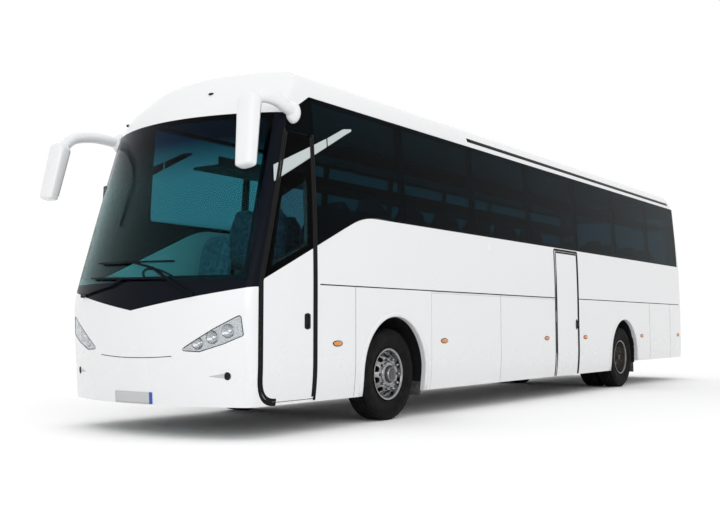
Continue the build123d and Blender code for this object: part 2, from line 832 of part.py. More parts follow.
tail_lamps = tail_layer(0, TAIL_LAMP_T, tail_lamp_outlines(FIT))
save(tail_lamps, "tail_lamps")

# Engine lid, hung from a barrel along its top edge
lid_axis_y = tail_y - LID_AXIS_IN
with BuildSketch() as lid_face:
    add(box_face(-lid_half, lid_half, LID_LOW_Z, LID_TOP_Z - BARREL_NECK))
    add(box_face(-LID_BARREL, LID_BARREL, LID_LOW_Z, LID_TOP_Z - BARREL_R / 2))
with BuildPart() as engine_lid:
    add(tail_layer(0, WALL, lid_face.sketch))
    with BuildSketch(Plane.XZ.offset(-(tail_y + WALL))):
        with Locations((0, LOUVRE["z"])):
            with GridLocations(lid_half, LOUVRE["pitch"], 2, LOUVRE["count"]):
                SlotOverall(lid_half - LOUVRE["side_in"], LOUVRE["high"])
    extrude(amount=TAIL_DEPTH + WALL, mode=Mode.SUBTRACT)
    with Locations((0, lid_axis_y, LID_TOP_Z - BARREL_NECK)):
        Box(
            2 * lid_half, WALL, BARREL_NECK,
            align=(Align.CENTER, Align.MIN, Align.MIN), mode=Mode.SUBTRACT,
        )
    with Locations(Location((0, lid_axis_y, LID_TOP_Z), (0, 90, 0))):
        Cylinder(BARREL_R, 2 * LID_BARREL)
save(engine_lid.part, "engine_lid")


# Luggage flap: wall strip hung from a barrel along its top edge
def flap(side, y0, y1):
    x0 = half * 0.6 if side > 0 else -half * 1.2
    low_y = y0 + RUN
    high_y = y1 - RUN
    axis_x = side * (half - BARREL_R)
    with BuildPart() as leaf:
        with BuildSketch(Plane.XZ.offset(-high_y)):
            add(wall_face(side, 0, WALL, SKIRT_Z, BELT_Z))
            with Locations((side * half, BELT_Z)):
                Rectangle(2 * BARREL_R, 2 * BARREL_NECK, mode=Mode.SUBTRACT)
            with Locations((axis_x, BELT_Z)):
                Circle(BARREL_R)
        extrude(amount=high_y - low_y)
    return leaf.part


for name, side, span in (
    ("luggage_flap_left_front", 1, left_flaps[0]),
    ("luggage_flap_left_rear", 1, left_flaps[1]),
    ("luggage_flap_right_front", -1, right_flaps[0]),
    ("luggage_flap_right_rear", -1, right_flaps[1]),
):
    save(flap(side, *span), name)

# Middle door, hung on two barrels at its front edge
mid_axis_x = half - BARREL_R
mid_axis_y = mid_front_y + BARREL_R + FIT
with BuildPart() as middle_door:
    with BuildSketch(Plane.XZ.offset(-(mid_rear_y - RUN))):
        add(wall_face(1, 0, WALL, SKIRT_Z, MID_DOOR_TOP_Z - RUN))
    extrude(amount=MID_DOOR_W - RUN - BARREL_R - FIT)
    with Locations((half, mid_axis_y, 0)):
        Box(
            2 * BARREL_R, 2 * BARREL_NECK, 2 * EAVE_Z,
            align=(Align.CENTER, Align.CENTER, Align.CENTER), mode=Mode.SUBTRACT,
        )
    for z in MID_HINGE_Z:
        with Locations((mid_axis_x, mid_axis_y, z)):
            Cylinder(BARREL_R, MID_HINGE_H)
save(middle_door.part, "middle_door")

# Front door: lower panel and window frame, glass above, lugs for the arms inside
arm_x = half - WALL - ARM_IN
arm_y = door_front_y + ARM_FROM
pin_y = arm_y + ARM_L


def window_face():
    with BuildSketch() as face:
        with BuildLine():
            Polyline(*[(axle_f + y, z) for y, z in DOOR_WINDOW], close=True)
        make_face()
        fillet(face.vertices(), radius=SCREEN_R / 2)
    return face.sketch


with BuildPart() as front_door:
    with BuildSketch(Plane.XZ.offset(-(door_rear_y + WALL))):
        add(wall_face(1, 0, WALL, SKIRT_Z, DOOR_TOP_Z + WALL))
    extrude(amount=DOOR_W + 2 * WALL)
    with BuildSketch(Plane.YZ.offset(half * 0.6)):
        add(door_face(0))
    extrude(amount=half * 0.6, mode=Mode.INTERSECT)
    add(glass_layer(1, 0, GLASS + FIT, 0), mode=Mode.SUBTRACT)
    with BuildSketch(Plane.YZ.offset(half * 0.6)):
        add(window_face())
    extrude(amount=half * 0.6, mode=Mode.SUBTRACT)
    for z in ARM_ZS:
        for way in (-1, 1):
            lug_z = z + way * (ARM_H / 2 + FIT + LUG_T / 2)
            with BuildSketch(Plane.XY.offset(lug_z - LUG_T / 2)):
                with Locations((arm_x, pin_y)):
                    Circle(ARM_T / 2)
                with Locations(((arm_x + wall_x(lug_z, WALL) + WALL / 4) / 2, pin_y)):
                    Rectangle(wall_x(lug_z, WALL) + WALL / 4 - arm_x, ARM_T)
                with Locations((arm_x, pin_y)):
                    Circle(PIN_R + FIT, mode=Mode.SUBTRACT)
            extrude(amount=LUG_T)
save(front_door.part, "front_door")

with BuildPart() as front_door_glass:
    add(glass_layer(1, 0, GLASS, PANE_GAP / 2))
    with BuildSketch(Plane.YZ.offset(half * 0.6)):
        add(door_face(-PANE_GAP / 2))
    extrude(amount=half * 0.6, mode=Mode.INTERSECT)
save(front_door_glass.part, "front_door_glass")

with BuildPart() as front_door_arm:
    foot_z = front_treads[0][0] + FIT
    with Locations((arm_x, arm_y, foot_z)):
        Cylinder(COLUMN_R, ARM_ZS[1] + ARM_H - foot_z, align=(Align.CENTER, Align.CENTER, Align.MIN))
    for z in ARM_ZS:
        with BuildSketch(Plane.XY.offset(z - ARM_H / 2)):
            with Locations((arm_x, arm_y + ARM_L / 2, 0)):
                SlotCenterToCenter(ARM_L, ARM_T, rotation=90)
        extrude(amount=ARM_H)
        with Locations((arm_x, pin_y, z)):
            Cylinder(PIN_R, ARM_H + 2 * LUG_T + 2 * FIT)
save(front_door_arm.part, "front_door_arm")


# Steps: a tread and its riser for each row of a table
def add_treads(rows, y0, y1, top_z):
    heights = [row[0] for row in rows[1:]] + [top_z]
    for (z, x_in, x_out), next_z in zip(rows, heights):
        with Locations(((x_in + x_out) / 2, (y0 + y1) / 2, z - STEP_T / 2)):
            Box(x_out - x_in, y1 - y0, STEP_T)
        with Locations((x_in - STEP_T / 2, (y0 + y1) / 2, (z - STEP_T + next_z) / 2)):
            Box(STEP_T, y1 - y0, next_z - z + STEP_T)


step_front_y = door_front_y + WALL
step_rear_y = door_rear_y + WALL
with BuildPart() as entrance_steps:
    add_treads(front_treads, step_front_y, step_rear_y, DRIVER_Z)
    with Locations((stair_x, floor_front_y, DRIVER_Z)):
        Box(
            stair_x + inside_x, floor_front_y - nose_y - DRIVER_FLOOR_AT, STEP_T,
            align=(Align.MAX, Align.MAX, Align.MAX),
        )
    with Locations((stair_x - STEP_T, step_rear_y, front_treads[0][0] - STEP_T)):
        Box(
            front_treads[0][2] - stair_x + STEP_T, STEP_T, FLOOR_Z - DECK - front_treads[0][0] + STEP_T,
            align=(Align.MIN, Align.MIN, Align.MIN),
        )
    with Locations((stair_x - STEP_T, step_rear_y, DRIVER_Z - STEP_T)):
        Box(
            STEP_T, floor_front_y - step_rear_y, FLOOR_Z - DECK - DRIVER_Z + STEP_T,
            align=(Align.MIN, Align.MIN, Align.MIN),
        )
    with Locations((stair_x - STEP_T, floor_front_y, DRIVER_Z)):
        Box(
            AISLE_STEP_W, AISLE_STEP_D, (FLOOR_Z - DRIVER_Z) / 2,
            align=(Align.MAX, Align.MAX, Align.MIN),
        )
save(entrance_steps.part, "entrance_steps")

with BuildPart() as middle_steps:
    add_treads(mid_treads, mid_front_y, mid_rear_y, FLOOR_Z - DECK)
    for y in (mid_front_y, mid_rear_y - STEP_T):
        with Locations((mid_treads[-1][1] - STEP_T, y, BAY_Z + FIT)):
            Box(
                mid_treads[0][2] - mid_treads[-1][1] + STEP_T, STEP_T, FLOOR_Z - DECK - BAY_Z - FIT,
                align=(Align.MIN, Align.MIN, Align.MIN),
            )
    with Locations((0, 0, BAY_Z + FIT)):
        Box(WIDTH, LENGTH, FLOOR_Z, align=(Align.CENTER, Align.CENTER, Align.MIN), mode=Mode.INTERSECT)
save(middle_steps.part, "middle_steps")

# Passenger floor, open over the middle steps and the front stairwell
floor_x = wall_x(FLOOR_Z, WALL) - FIT
with BuildPart() as cabin_floor:
    with BuildSketch(Plane.XY.offset(FLOOR_Z - DECK)):
        with Locations((0, (floor_front_y + tail_split_y) / 2)):
            Rectangle(2 * floor_x, tail_split_y - floor_front_y)
        with Locations((stair_x - STEP_T, step_rear_y)):
            Rectangle(
                floor_x - stair_x + STEP_T, floor_front_y - step_rear_y + STEP_T, align=(Align.MIN, Align.MIN)
            )
        with Locations((mid_treads[-1][1], mid_front_y + STEP_T)):
            Rectangle(WIDTH, MID_DOOR_W - 2 * STEP_T, align=(Align.MIN, Align.MIN), mode=Mode.SUBTRACT)
    extrude(amount=DECK)
save(cabin_floor.part, "cabin_floor")

# Underframe: a ladder of rails at each end, with the luggage floor and bulkheads between
bay_x = wall_x(BAY_Z - DECK, WALL) - FIT
rails_front_y = nose_y + RAIL_NOSE
rails_rear_y = tail_y - RAIL_TAIL
front_members = (
    (rails_front_y + RAIL_W / 2, NOSE_MEMBER_W),
    (axle_f - AXLE_MEMBER, 2 * RAIL_X),
    (axle_f + AXLE_MEMBER, 2 * RAIL_X),
)
rear_members = (
    (axle_r - REAR_MEMBER, 2 * RAIL_X),
    (axle_r + REAR_MEMBER, 2 * RAIL_X),
    (rails_rear_y - RAIL_W / 2, TAIL_MEMBER_W),
)


def ladder(y0, y1, members):
    with BuildPart() as frame:
        for side in (-1, 1):
            with Locations((side * RAIL_X, (y0 + y1) / 2, RAIL_Z + RAIL_H / 2)):
                Box(RAIL_W, y1 - y0, RAIL_H)
        for y, wide in members:
            with Locations((0, y, RAIL_Z + RAIL_H / 2)):
                Box(wide, RAIL_W, RAIL_H)
    return frame.part


with BuildPart() as front_frame:
    add(ladder(rails_front_y, bay_front_y - BULKHEAD, front_members))
    with Locations((0, rails_front_y + TOW_L / 2, RAIL_Z - TOW_T)):
        Box(TOW_W, TOW_L, TOW_T, align=(Align.CENTER, Align.CENTER, Align.MIN))
    with Locations((0, rails_front_y + TOW_L / 3, RAIL_Z)):
        Cylinder(TOW_R, 4 * RAIL_H, mode=Mode.SUBTRACT)
    with Locations((0, floor_front_y + BULKHEAD / 2, RAIL_Z + RAIL_H / 2)):
        Box(WIDTH, BULKHEAD, 2 * RAIL_H, mode=Mode.SUBTRACT)
save(front_frame.part, "front_frame")
save(ladder(bay_end_y + BULKHEAD, rails_rear_y, rear_members), "rear_frame")

with BuildPart() as front_bulkhead:
    with Locations((0, floor_front_y, RAIL_Z)):
        Box(2 * bay_x, BULKHEAD, FLOOR_Z - DECK - RAIL_Z, align=(Align.CENTER, Align.MIN, Align.MIN))
save(front_bulkhead.part, "front_bulkhead")

with BuildPart() as luggage_floor:
    with Locations((0, (bay_front_y + bay_end_y) / 2, BAY_Z - DECK / 2)):
        Box(2 * (bay_x - 2 * RUN), bay_end_y - bay_front_y, DECK)
    for y0 in (bay_front_y - BULKHEAD, bay_end_y):
        with Locations((0, y0, BAY_Z - DECK)):
            Box(
                2 * bay_x, BULKHEAD, FLOOR_Z - BAY_Z,
                align=(Align.CENTER, Align.MIN, Align.MIN),
            )
save(luggage_floor.part, "luggage_floor")

# Wheel housings: an arched liner over each wheel
liner_x = wall_x(ARCH_Z - LINER_LEG, WALL) - FIT
with BuildPart() as wheel_housings:
    for x0 in (LINER_IN_X, -liner_x):
        with BuildSketch(Plane.YZ.offset(x0)):
            for y in (axle_f, axle_r):
                add(arch_face(y, ARCH_R + LINER_GAP + LINER_T, ARCH_Z - LINER_LEG))
                add(arch_face(y, ARCH_R + LINER_GAP, ARCH_Z - LINER_LEG), mode=Mode.SUBTRACT)
        extrude(amount=liner_x - LINER_IN_X)
save(wheel_housings.part, "wheel_housings")

mud_x = wall_x(SKIRT_Z, WALL) - RUN
with BuildPart() as mud_flaps:
    for side in (-1, 1):
        for y, x_mid in ((axle_f, front_wheel_x), (axle_r, rear_wheel_x - TWIN_PITCH)):
            x_in = x_mid - TYRE_W / 2
            with Locations((side * (x_in + mud_x) / 2, y + ARCH_R + LINER_GAP + LINER_T + FIT, MUD_LOW_Z)):
                Box(
                    mud_x - x_in, FLAP_T, ARCH_Z - MUD_LOW_Z,
                    align=(Align.CENTER, Align.MIN, Align.MIN),
                )
save(mud_flaps.part, "mud_flaps")

# Front axle: dropped beam with a kingpin eye at each end
with BuildPart() as front_axle:
    with BuildSketch(Plane.XZ.offset(-(axle_f + BEAM_W / 2))):
        with BuildLine():
            Polyline(
                (0, BEAM_LOW_Z),
                (kingpin_x - 4 * EYE_R, BEAM_LOW_Z),
                (kingpin_x, hub_z - EYE_H / 2),
                (kingpin_x, hub_z + EYE_H / 2),
                (kingpin_x - 4 * EYE_R, BEAM_TOP_Z),
                (0, BEAM_TOP_Z),
            )
            mirror(about=Plane.YZ)
        make_face()
    extrude(amount=BEAM_W)
    for side in (-1, 1):
        with Locations((side * kingpin_x, axle_f, hub_z)):
            Box(2 * EYE_R + BEAM_W, 2 * BEAM_W, 4 * EYE_H, mode=Mode.SUBTRACT)
            Cylinder(EYE_R, EYE_H)
        with Locations((side * (kingpin_x - EYE_R - BEAM_W / 4), axle_f, hub_z)):
            Box(BEAM_W, EYE_R, EYE_H)
        with Locations((side * kingpin_x, axle_f, hub_z)):
            Cylinder(KINGPIN_R + FIT, 2 * EYE_H, mode=Mode.SUBTRACT)
save(front_axle.part, "front_axle")


# Knuckle: forked lugs and pin round the axle eye, plate, spindle and brake disc
def knuckle(side):
    lug_z = EYE_H / 2 + FIT
    plate_x = kingpin_x + EYE_R + 2 * RUN
    with BuildPart() as body:
        with Locations((side * kingpin_x, axle_f, hub_z)):
            Cylinder(KINGPIN_R, EYE_H + 2 * LUG_H)
        for way in (-1, 1):
            with BuildSketch(Plane.XY.offset(hub_z + (lug_z if way > 0 else -lug_z - LUG_H))):
                with Locations((side * kingpin_x, axle_f)):
                    Circle(EYE_R)
                with Locations((side * (kingpin_x + plate_x + KNUCKLE_T) / 2, axle_f)):
                    Rectangle(plate_x + KNUCKLE_T - kingpin_x, 2 * EYE_R)
            extrude(amount=LUG_H)
        with Locations((side * (plate_x + KNUCKLE_T / 2), axle_f, hub_z)):
            Box(KNUCKLE_T, 2 * EYE_R, EYE_H + 2 * LUG_H)
        with Locations(Location((side * (plate_x + KNUCKLE_T), axle_f, hub_z), (0, 90 * side, 0))):
            spindle = spindle_end_x - plate_x - KNUCKLE_T
            Cylinder(SPINDLE_R, spindle, align=(Align.CENTER, Align.CENTER, Align.MIN))
            Cylinder(DISC_R, DISC_T, align=(Align.CENTER, Align.CENTER, Align.MIN))
    return body.part


for name, side in (("knuckle_left", 1), ("knuckle_right", -1)):
    save(knuckle(side), name)

# Rear axle: tube, differential, spindles and the saddles under it
with BuildPart() as rear_axle:
    with BuildSketch(Plane(origin=(0, axle_r, hub_z), x_dir=(1, 0, 0), z_dir=(0, -1, 0))):
        with BuildLine():
            Polyline(
                (-spindle_end_x, 0),
                (-spindle_end_x, SPINDLE_R),
                (-axle_end_x, SPINDLE_R),
                (-axle_end_x, AXLE_R),
                (-DIFF_R, AXLE_R),
                (-DIFF_R / 2, DIFF_R),
                (DIFF_R / 2, DIFF_R),
                (DIFF_R, AXLE_R),
                (axle_end_x, AXLE_R),
                (axle_end_x, SPINDLE_R),
                (spindle_end_x, SPINDLE_R),
                (spindle_end_x, 0),
                close=True,
            )
        make_face()
    revolve(axis=Axis((0, axle_r, hub_z), (1, 0, 0)))
    for side in (-1, 1):
        with Locations((side * RAIL_X, axle_r, hub_z - AXLE_R)):
            Box(RAIL_W, SADDLE_L, SADDLE_T)
save(rear_axle.part, "rear_axle")

with BuildPart() as air_springs:
    for side in (-1, 1):
        for y, low_z in (
            (axle_f, BEAM_TOP_Z),
            (axle_r - SPRING_AT, hub_z - AXLE_R + SADDLE_T / 2),
            (axle_r + SPRING_AT, hub_z - AXLE_R + SADDLE_T / 2),
        ):
            with Locations((side * RAIL_X, y, low_z)):
                Cylinder(SPRING_R, RAIL_Z - low_z, align=(Align.CENTER, Align.CENTER, Align.MIN))
save(air_springs.part, "air_springs")


# Tyre and rim turned about the wheel axis; the rim's disc stands out or in
def tyre_face():
    bore = RIM_R + FIT
    wide = TYRE_W / 2
    with BuildSketch() as face:
        with BuildLine():
            Polyline(
                (-wide * 0.8, bore),
                (-wide, (bore + TYRE_R) / 2),
                (-wide * 0.82, TYRE_R),
                (wide * 0.82, TYRE_R),
                (wide, (bore + TYRE_R) / 2),
                (wide * 0.8, bore),
                close=True,
            )
        make_face()
    return face.sketch


def rim_face(disc_at, hub_at):
    wide = RIM_W / 2
    inner = RIM_R - RIM_T
    with BuildSketch() as face:
        with BuildLine():
            Polyline(
                (-wide, RIM_R),
                (wide, RIM_R),
                (wide, inner),
                (disc_at, inner - RIM_T),
                (hub_at, HUB_R),
                (hub_at, SPINDLE_R + FIT),
                (hub_at - HUB_T, SPINDLE_R + FIT),
                (hub_at - HUB_T, HUB_R),
                (disc_at - 2 * RIM_T, inner - RIM_T),
                (-wide, inner),
                close=True,
            )
        make_face()
    return face.sketch


def turned(face, x, y):
    side = 1 if x > 0 else -1
    with BuildPart() as ring:
        with BuildSketch(Plane(origin=(x, y, hub_z), x_dir=(side, 0, 0), z_dir=(0, -side, 0))):
            add(face)
        revolve(axis=Axis((x, y, hub_z), (1, 0, 0)))
    return ring.part


def rim(disc_at, hub_at, x, y):
    with BuildPart() as wheel:
        add(turned(rim_face(disc_at, hub_at), x, y))
        with Locations(Location((x, y, hub_z), (0, 90, 0))):
            with PolarLocations(HAND_AT, HAND_COUNT):
                Cylinder(HAND_R, 2 * RIM_W, mode=Mode.SUBTRACT)
    return wheel.part


for name, side in (("left", 1), ("right", -1)):
    save(turned(tyre_face(), side * front_wheel_x, axle_f), "front_tyre_" + name)
    save(rim(FRONT_DISC, FRONT_HUB, side * front_wheel_x, axle_f), "front_rim_" + name)
    outer_x = rear_wheel_x
    inner_x = rear_wheel_x - TWIN_PITCH
    with BuildPart() as twins:
        add(turned(tyre_face(), side * outer_x, axle_r))
        add(turned(tyre_face(), side * inner_x, axle_r))
    save(twins.part, "rear_tyres_" + name)
    with BuildPart() as rims:
        add(rim(-FRONT_DISC, HUB_T - TWIN_PITCH / 2, side * outer_x, axle_r))
        add(rim(FRONT_DISC, TWIN_PITCH / 2, side * inner_x, axle_r))
    save(rims.part, "rear_rims_" + name)

# Engine: one plain block between the rear rails
with BuildPart() as engine_block:
    with Locations((0, (axle_r + ENGINE_AT + tail_y - ENGINE_END) / 2, (ENGINE_LOW_Z + ENGINE_TOP_Z) / 2)):
        engine_l = tail_y - ENGINE_END - axle_r - ENGINE_AT
        Box(2 * RAIL_X - RAIL_W - 2 * FIT, engine_l, ENGINE_TOP_Z - ENGINE_LOW_Z)
    fillet(engine_block.edges().filter_by(Axis.Y), radius=RUN)
save(engine_block.part, "engine_block")


# Seats: pedestal, cushion and raked back, each a solid of its own
def back_face(base_y, low_z):
    with BuildSketch() as face:
        with BuildLine():
            Polyline(
                (base_y, low_z),
                (base_y + BACK_T, low_z),
                (base_y + BACK_T + BACK_RAKE, low_z + BACK_H),
                (base_y + BACK_RAKE + BACK_T * 0.2, low_z + BACK_H),
                (base_y, low_z + SEAT_T),
                close=True,
            )
        make_face()
    return face.sketch


def seat(x, y, floor_z, wide):
    with BuildPart() as body:
        with Locations((x, y, floor_z)):
            Box(wide * 0.3, SEAT_D * 0.7, SEAT_RISE, align=(Align.CENTER, Align.CENTER, Align.MIN))
        with Locations((x, y, floor_z + SEAT_RISE + FIT)):
            Box(wide, SEAT_D, SEAT_T, align=(Align.CENTER, Align.CENTER, Align.MIN))
        with BuildSketch(Plane.YZ.offset(x - wide / 2)):
            add(back_face(y + SEAT_D / 2 + FIT, floor_z + SEAT_RISE))
        extrude(amount=wide)
    return body.part


first_seat_y = axle_f + SEAT_FIRST
seat_rows = 1 + int((tail_split_y - SEAT_END - first_seat_y) / SEAT_PITCH)
with BuildPart() as seats:
    add(seat(DRIVER_X, nose_y + DASH_AT + DASH_D + DRIVER_GAP, DRIVER_Z, SEAT_W / 2))
    for row in range(seat_rows):
        y = first_seat_y + row * SEAT_PITCH
        add(seat(-seat_x, y, FLOOR_Z, SEAT_W))
        if y - SEAT_D > mid_rear_y or y + SEAT_D < mid_front_y:
            add(seat(seat_x, y, FLOOR_Z, SEAT_W))
save(seats.part, "seats")

# Dashboard with binnacle, and the steering wheel on its column
dash_y = nose_y + DASH_AT
with BuildPart() as dashboard:
    with BuildSketch(Plane.YZ.offset(-dash_x)):
        with BuildLine():
            Polyline(
                (dash_y, DRIVER_Z),
                (dash_y + DASH_D * 0.6, DRIVER_Z),
                (dash_y + DASH_D * 0.75, DASH_TOP_Z - 160),
                (dash_y + DASH_D, DASH_TOP_Z - 90),
                (dash_y + DASH_D * 0.8, DASH_TOP_Z),
                (dash_y - DASH_D * 0.3, DASH_TOP_Z - 20),
                (dash_y, DASH_TOP_Z - 120),
                close=True,
            )
        make_face()
    extrude(amount=dash_x + stair_x - STEP_T)
    with BuildSketch(Plane.YZ.offset(DRIVER_X - BINNACLE_W / 2)):
        with BuildLine():
            Polyline(
                (dash_y + DASH_D * 0.3, DASH_TOP_Z - 40),
                (dash_y + DASH_D * 0.9, DASH_TOP_Z - 60),
                (dash_y + DASH_D * 0.75, DASH_TOP_Z + BINNACLE_H - 10),
                (dash_y + DASH_D * 0.55, DASH_TOP_Z + BINNACLE_H),
                close=True,
            )
        make_face()
    extrude(amount=BINNACLE_W)
save(dashboard.part, "dashboard")

with BuildPart() as wheel_ring:
    with BuildSketch(Plane.XZ):
        with Locations((WHEEL_RIM_R, 0)):
            RegularPolygon(WHEEL_TUBE_R, 8)
    revolve(axis=Axis.Z)
with BuildPart() as steering_wheel:
    wheel_at = Location((DRIVER_X, dash_y + DASH_D + 60, DASH_TOP_Z + 90), (-WHEEL_TILT, 0, 0))
    add(wheel_ring.part.moved(wheel_at))
    with Locations(wheel_at):
        Cylinder(BOSS_R, SPOKE_W)
        Box(2 * WHEEL_RIM_R - WHEEL_TUBE_R, SPOKE_W, WHEEL_TUBE_R)
        Cylinder(BOSS_R / 2, COLUMN_L, align=(Align.CENTER, Align.CENTER, Align.MAX))
    add(dashboard.part, mode=Mode.SUBTRACT)
save(steering_wheel.part, "steering_wheel")

# Luggage racks along both sides, following the inner wall
with BuildSketch() as rack_face:
    for side in (-1, 1):
        with Locations((side * rack_x, RACK_Z)):
            Rectangle(WIDTH, RACK_T, align=(Align.MIN if side > 0 else Align.MAX, Align.MIN))
            Rectangle(RACK_T, RACK_LIP, align=(Align.MIN if side > 0 else Align.MAX, Align.MIN))
    add(body_face(WALL + FIT, SKIRT_Z), mode=Mode.INTERSECT)
with BuildPart() as luggage_racks:
    with BuildSketch(Plane.XZ.offset(-(tail_split_y - RACK_END))):
        add(rack_face.sketch)
    extrude(amount=tail_split_y - RACK_END - floor_front_y)
save(luggage_racks.part, "luggage_racks")

# Roof hatches, seated on the crown
with BuildPart() as roof_hatches:
    for y in (axle_f + HATCH_FRONT, tail_y - HATCH_REAR):
        with BuildSketch(Plane.XY.offset(roof_z - WALL)):
            with Locations((0, y)):
                RectangleRounded(HATCH["wide"], HATCH["long"], HATCH["corner"])
        extrude(amount=WALL + HATCH["high"], taper=HATCH["taper"])
    with BuildSketch(Plane.XZ.offset(-tail_y)):
        add(body_face(-FIT, SKIRT_Z))
    extrude(amount=LENGTH, mode=Mode.SUBTRACT)
save(roof_hatches.part, "roof_hatches")

# Mirrors: foot on the roof cap, bent arm and hanging head
def mirror_head(x, y, z):
    with BuildPart() as head:
        Box(*MIRROR_HEAD)
        fillet(head.edges().filter_by(Axis.Z), radius=MIRROR_HEAD[1] / 3)
        fillet(head.edges().group_by(Axis.Z)[-1], radius=MIRROR_HEAD[1] / 4)
    lean = Location((x, y, z), (-MIRROR_LEAN, 0, 0))
    return head.part.moved(lean)


with BuildPart() as mirrors:
    for m in MIRRORS:
        foot_y = axle_f + MIRROR_FOOT[0]
        foot_x = wall_x(MIRROR_FOOT[1], 0)
        head_x = half + m["out"]
        head_y = axle_f + m["y"]
        head_top = m["z"] + MIRROR_HEAD[2] / 2
        with Locations(Location((m["side"] * (foot_x - WALL / 2), foot_y, MIRROR_FOOT[1]), (0, 90, 0))):
            Cylinder(1.3 * MIRROR_ARM_R, 2.2 * WALL)
        with BuildLine(mode=Mode.PRIVATE) as path:
            FilletPolyline(
                (m["side"] * (foot_x - WALL / 4), foot_y, MIRROR_FOOT[1]),
                (m["side"] * (head_x + MIRROR_OUT), (foot_y + 2 * head_y) / 3, m["elbow"]),
                (m["side"] * head_x, head_y, m["elbow"]),
                (m["side"] * head_x, head_y, head_top - MIRROR_ARM_R),
                radius=2 * MIRROR_ARM_R,
            )
        with BuildSketch(Plane(origin=path.line @ 0, z_dir=path.line % 0)) as ring:
            Circle(MIRROR_ARM_R)
        sweep(path=path.line)
        add(mirror_head(m["side"] * head_x, head_y, m["z"]))
    with BuildSketch(Plane.XZ.offset(-cap_rear_y)):
        add(body_face(-FIT, SKIRT_Z))
    extrude(amount=cap_rear_y - axle_f - MIRROR_FOOT[0] + 3 * MIRROR_ARM_R, mode=Mode.SUBTRACT)
save(mirrors.part, "mirrors")


# Wipers: bars that follow the screen just outside it, on pivots through the mask
def bar_face(p, q, width):
    with BuildSketch() as face:
        with Locations(((p[0] + q[0]) / 2, (p[1] + q[1]) / 2)):
            turn = math.degrees(math.atan2(q[1] - p[1], q[0] - p[0]))
            SlotCenterToCenter(math.dist(p, q), width, rotation=turn)
    return face.sketch


with BuildSketch() as wiper_face:
    for w in WIPERS:
        add(bar_face(w["pivot"], w["joint"], WIPER_T))
        add(bar_face(w["blade"][0], w["blade"][1], WIPER_T))
        add(bar_face(w["joint"], w["blade_at"], WIPER_T))
with BuildSketch() as wiper_feet:
    with Locations(*[w["pivot"] for w in WIPERS]):
        Circle(WIPER_T)
with BuildPart() as wipers:
    add(nose_layer(-WIPER_LIFT - WIPER_T, -WIPER_LIFT, wiper_face.sketch, True))
    add(nose_layer(-WIPER_LIFT - WIPER_T, -FIT, wiper_feet.sketch, True))
save(wipers.part, "wipers")
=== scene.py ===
import bmesh
import bpy
import math
import numpy as np
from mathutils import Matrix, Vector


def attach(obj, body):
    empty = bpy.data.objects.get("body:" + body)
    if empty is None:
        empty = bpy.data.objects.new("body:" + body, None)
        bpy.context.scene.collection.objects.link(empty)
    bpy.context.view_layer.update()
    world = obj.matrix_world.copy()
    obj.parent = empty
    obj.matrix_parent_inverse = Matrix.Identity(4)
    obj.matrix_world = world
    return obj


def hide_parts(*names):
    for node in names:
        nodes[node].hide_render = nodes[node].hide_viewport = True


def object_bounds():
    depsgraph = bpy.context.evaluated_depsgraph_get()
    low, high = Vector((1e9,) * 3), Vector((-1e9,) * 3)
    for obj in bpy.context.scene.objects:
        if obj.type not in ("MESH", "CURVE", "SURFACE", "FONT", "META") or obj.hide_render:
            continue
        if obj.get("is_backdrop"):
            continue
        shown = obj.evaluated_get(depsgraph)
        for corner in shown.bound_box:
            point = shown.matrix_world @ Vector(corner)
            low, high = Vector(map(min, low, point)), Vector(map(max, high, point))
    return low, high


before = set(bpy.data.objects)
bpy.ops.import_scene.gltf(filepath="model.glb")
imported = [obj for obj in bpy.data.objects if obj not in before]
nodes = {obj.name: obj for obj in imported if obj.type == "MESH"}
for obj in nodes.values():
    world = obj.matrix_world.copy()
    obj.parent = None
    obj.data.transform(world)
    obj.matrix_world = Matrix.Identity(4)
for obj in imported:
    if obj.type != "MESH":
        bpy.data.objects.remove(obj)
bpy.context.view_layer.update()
print("frame loaded:", len(nodes), "nodes")

# Camera at the photograph's place: metres, degrees, lens in mm on a 36 mm sensor
cameraView = {
    "place": (7.114, -12.655, 1.049), "azimuth": 35.74, "lookUp": 4.41,
    "lens": 47.27, "sensor": 36.0, "far": 200.0,
}
cameraData = bpy.data.cameras.new("camera")
cameraData.lens = cameraView["lens"]
cameraData.sensor_width = cameraView["sensor"]
cameraData.clip_end = cameraView["far"]
camera = bpy.data.objects.new("camera", cameraData)
camera.location = cameraView["place"]
camera.rotation_euler = (math.radians(90 + cameraView["lookUp"]), 0, math.radians(cameraView["azimuth"]))
bpy.context.scene.collection.objects.link(camera)
bpy.context.scene.camera = camera
bpy.context.scene.view_settings.view_transform = "Standard"

# Main lines of the body, in metres, the same as the solids; the rise is the glass line's slope at the front
body = {
    "half": 1.275, "noseY": -6.55, "tailY": 6.55, "axleF": -3.85, "axleR": 3.25, "hubZ": 0.508,
    "skirtZ": 0.30, "tuckZ": 0.70, "tuckIn": 0.03, "tumbleZ": 1.30, "glassZ": 2.205,
    "eaveZ": 3.358, "eaveHalf": 1.18, "shoulderR": 0.33,
    "riseY": -6.108, "riseZ": 1.46, "riseSlope": 0.451, "riseBend": 0.15,
}
nose = {"bow": 2.73, "chin": 3.5, "bendZ": 1.19, "bend": 1.05, "lean": 15.0, "headZ": 3.125, "topZ": 3.704}
tail = {"bow": 8.0, "chin": 0.0, "bendZ": 2.05, "bend": 3.0, "lean": 9.5, "headZ": 3.45, "topZ": 3.704}


# Several values of a piece's dictionary, by name
def pick(form, names):
    return [form[name] for name in names.split()]


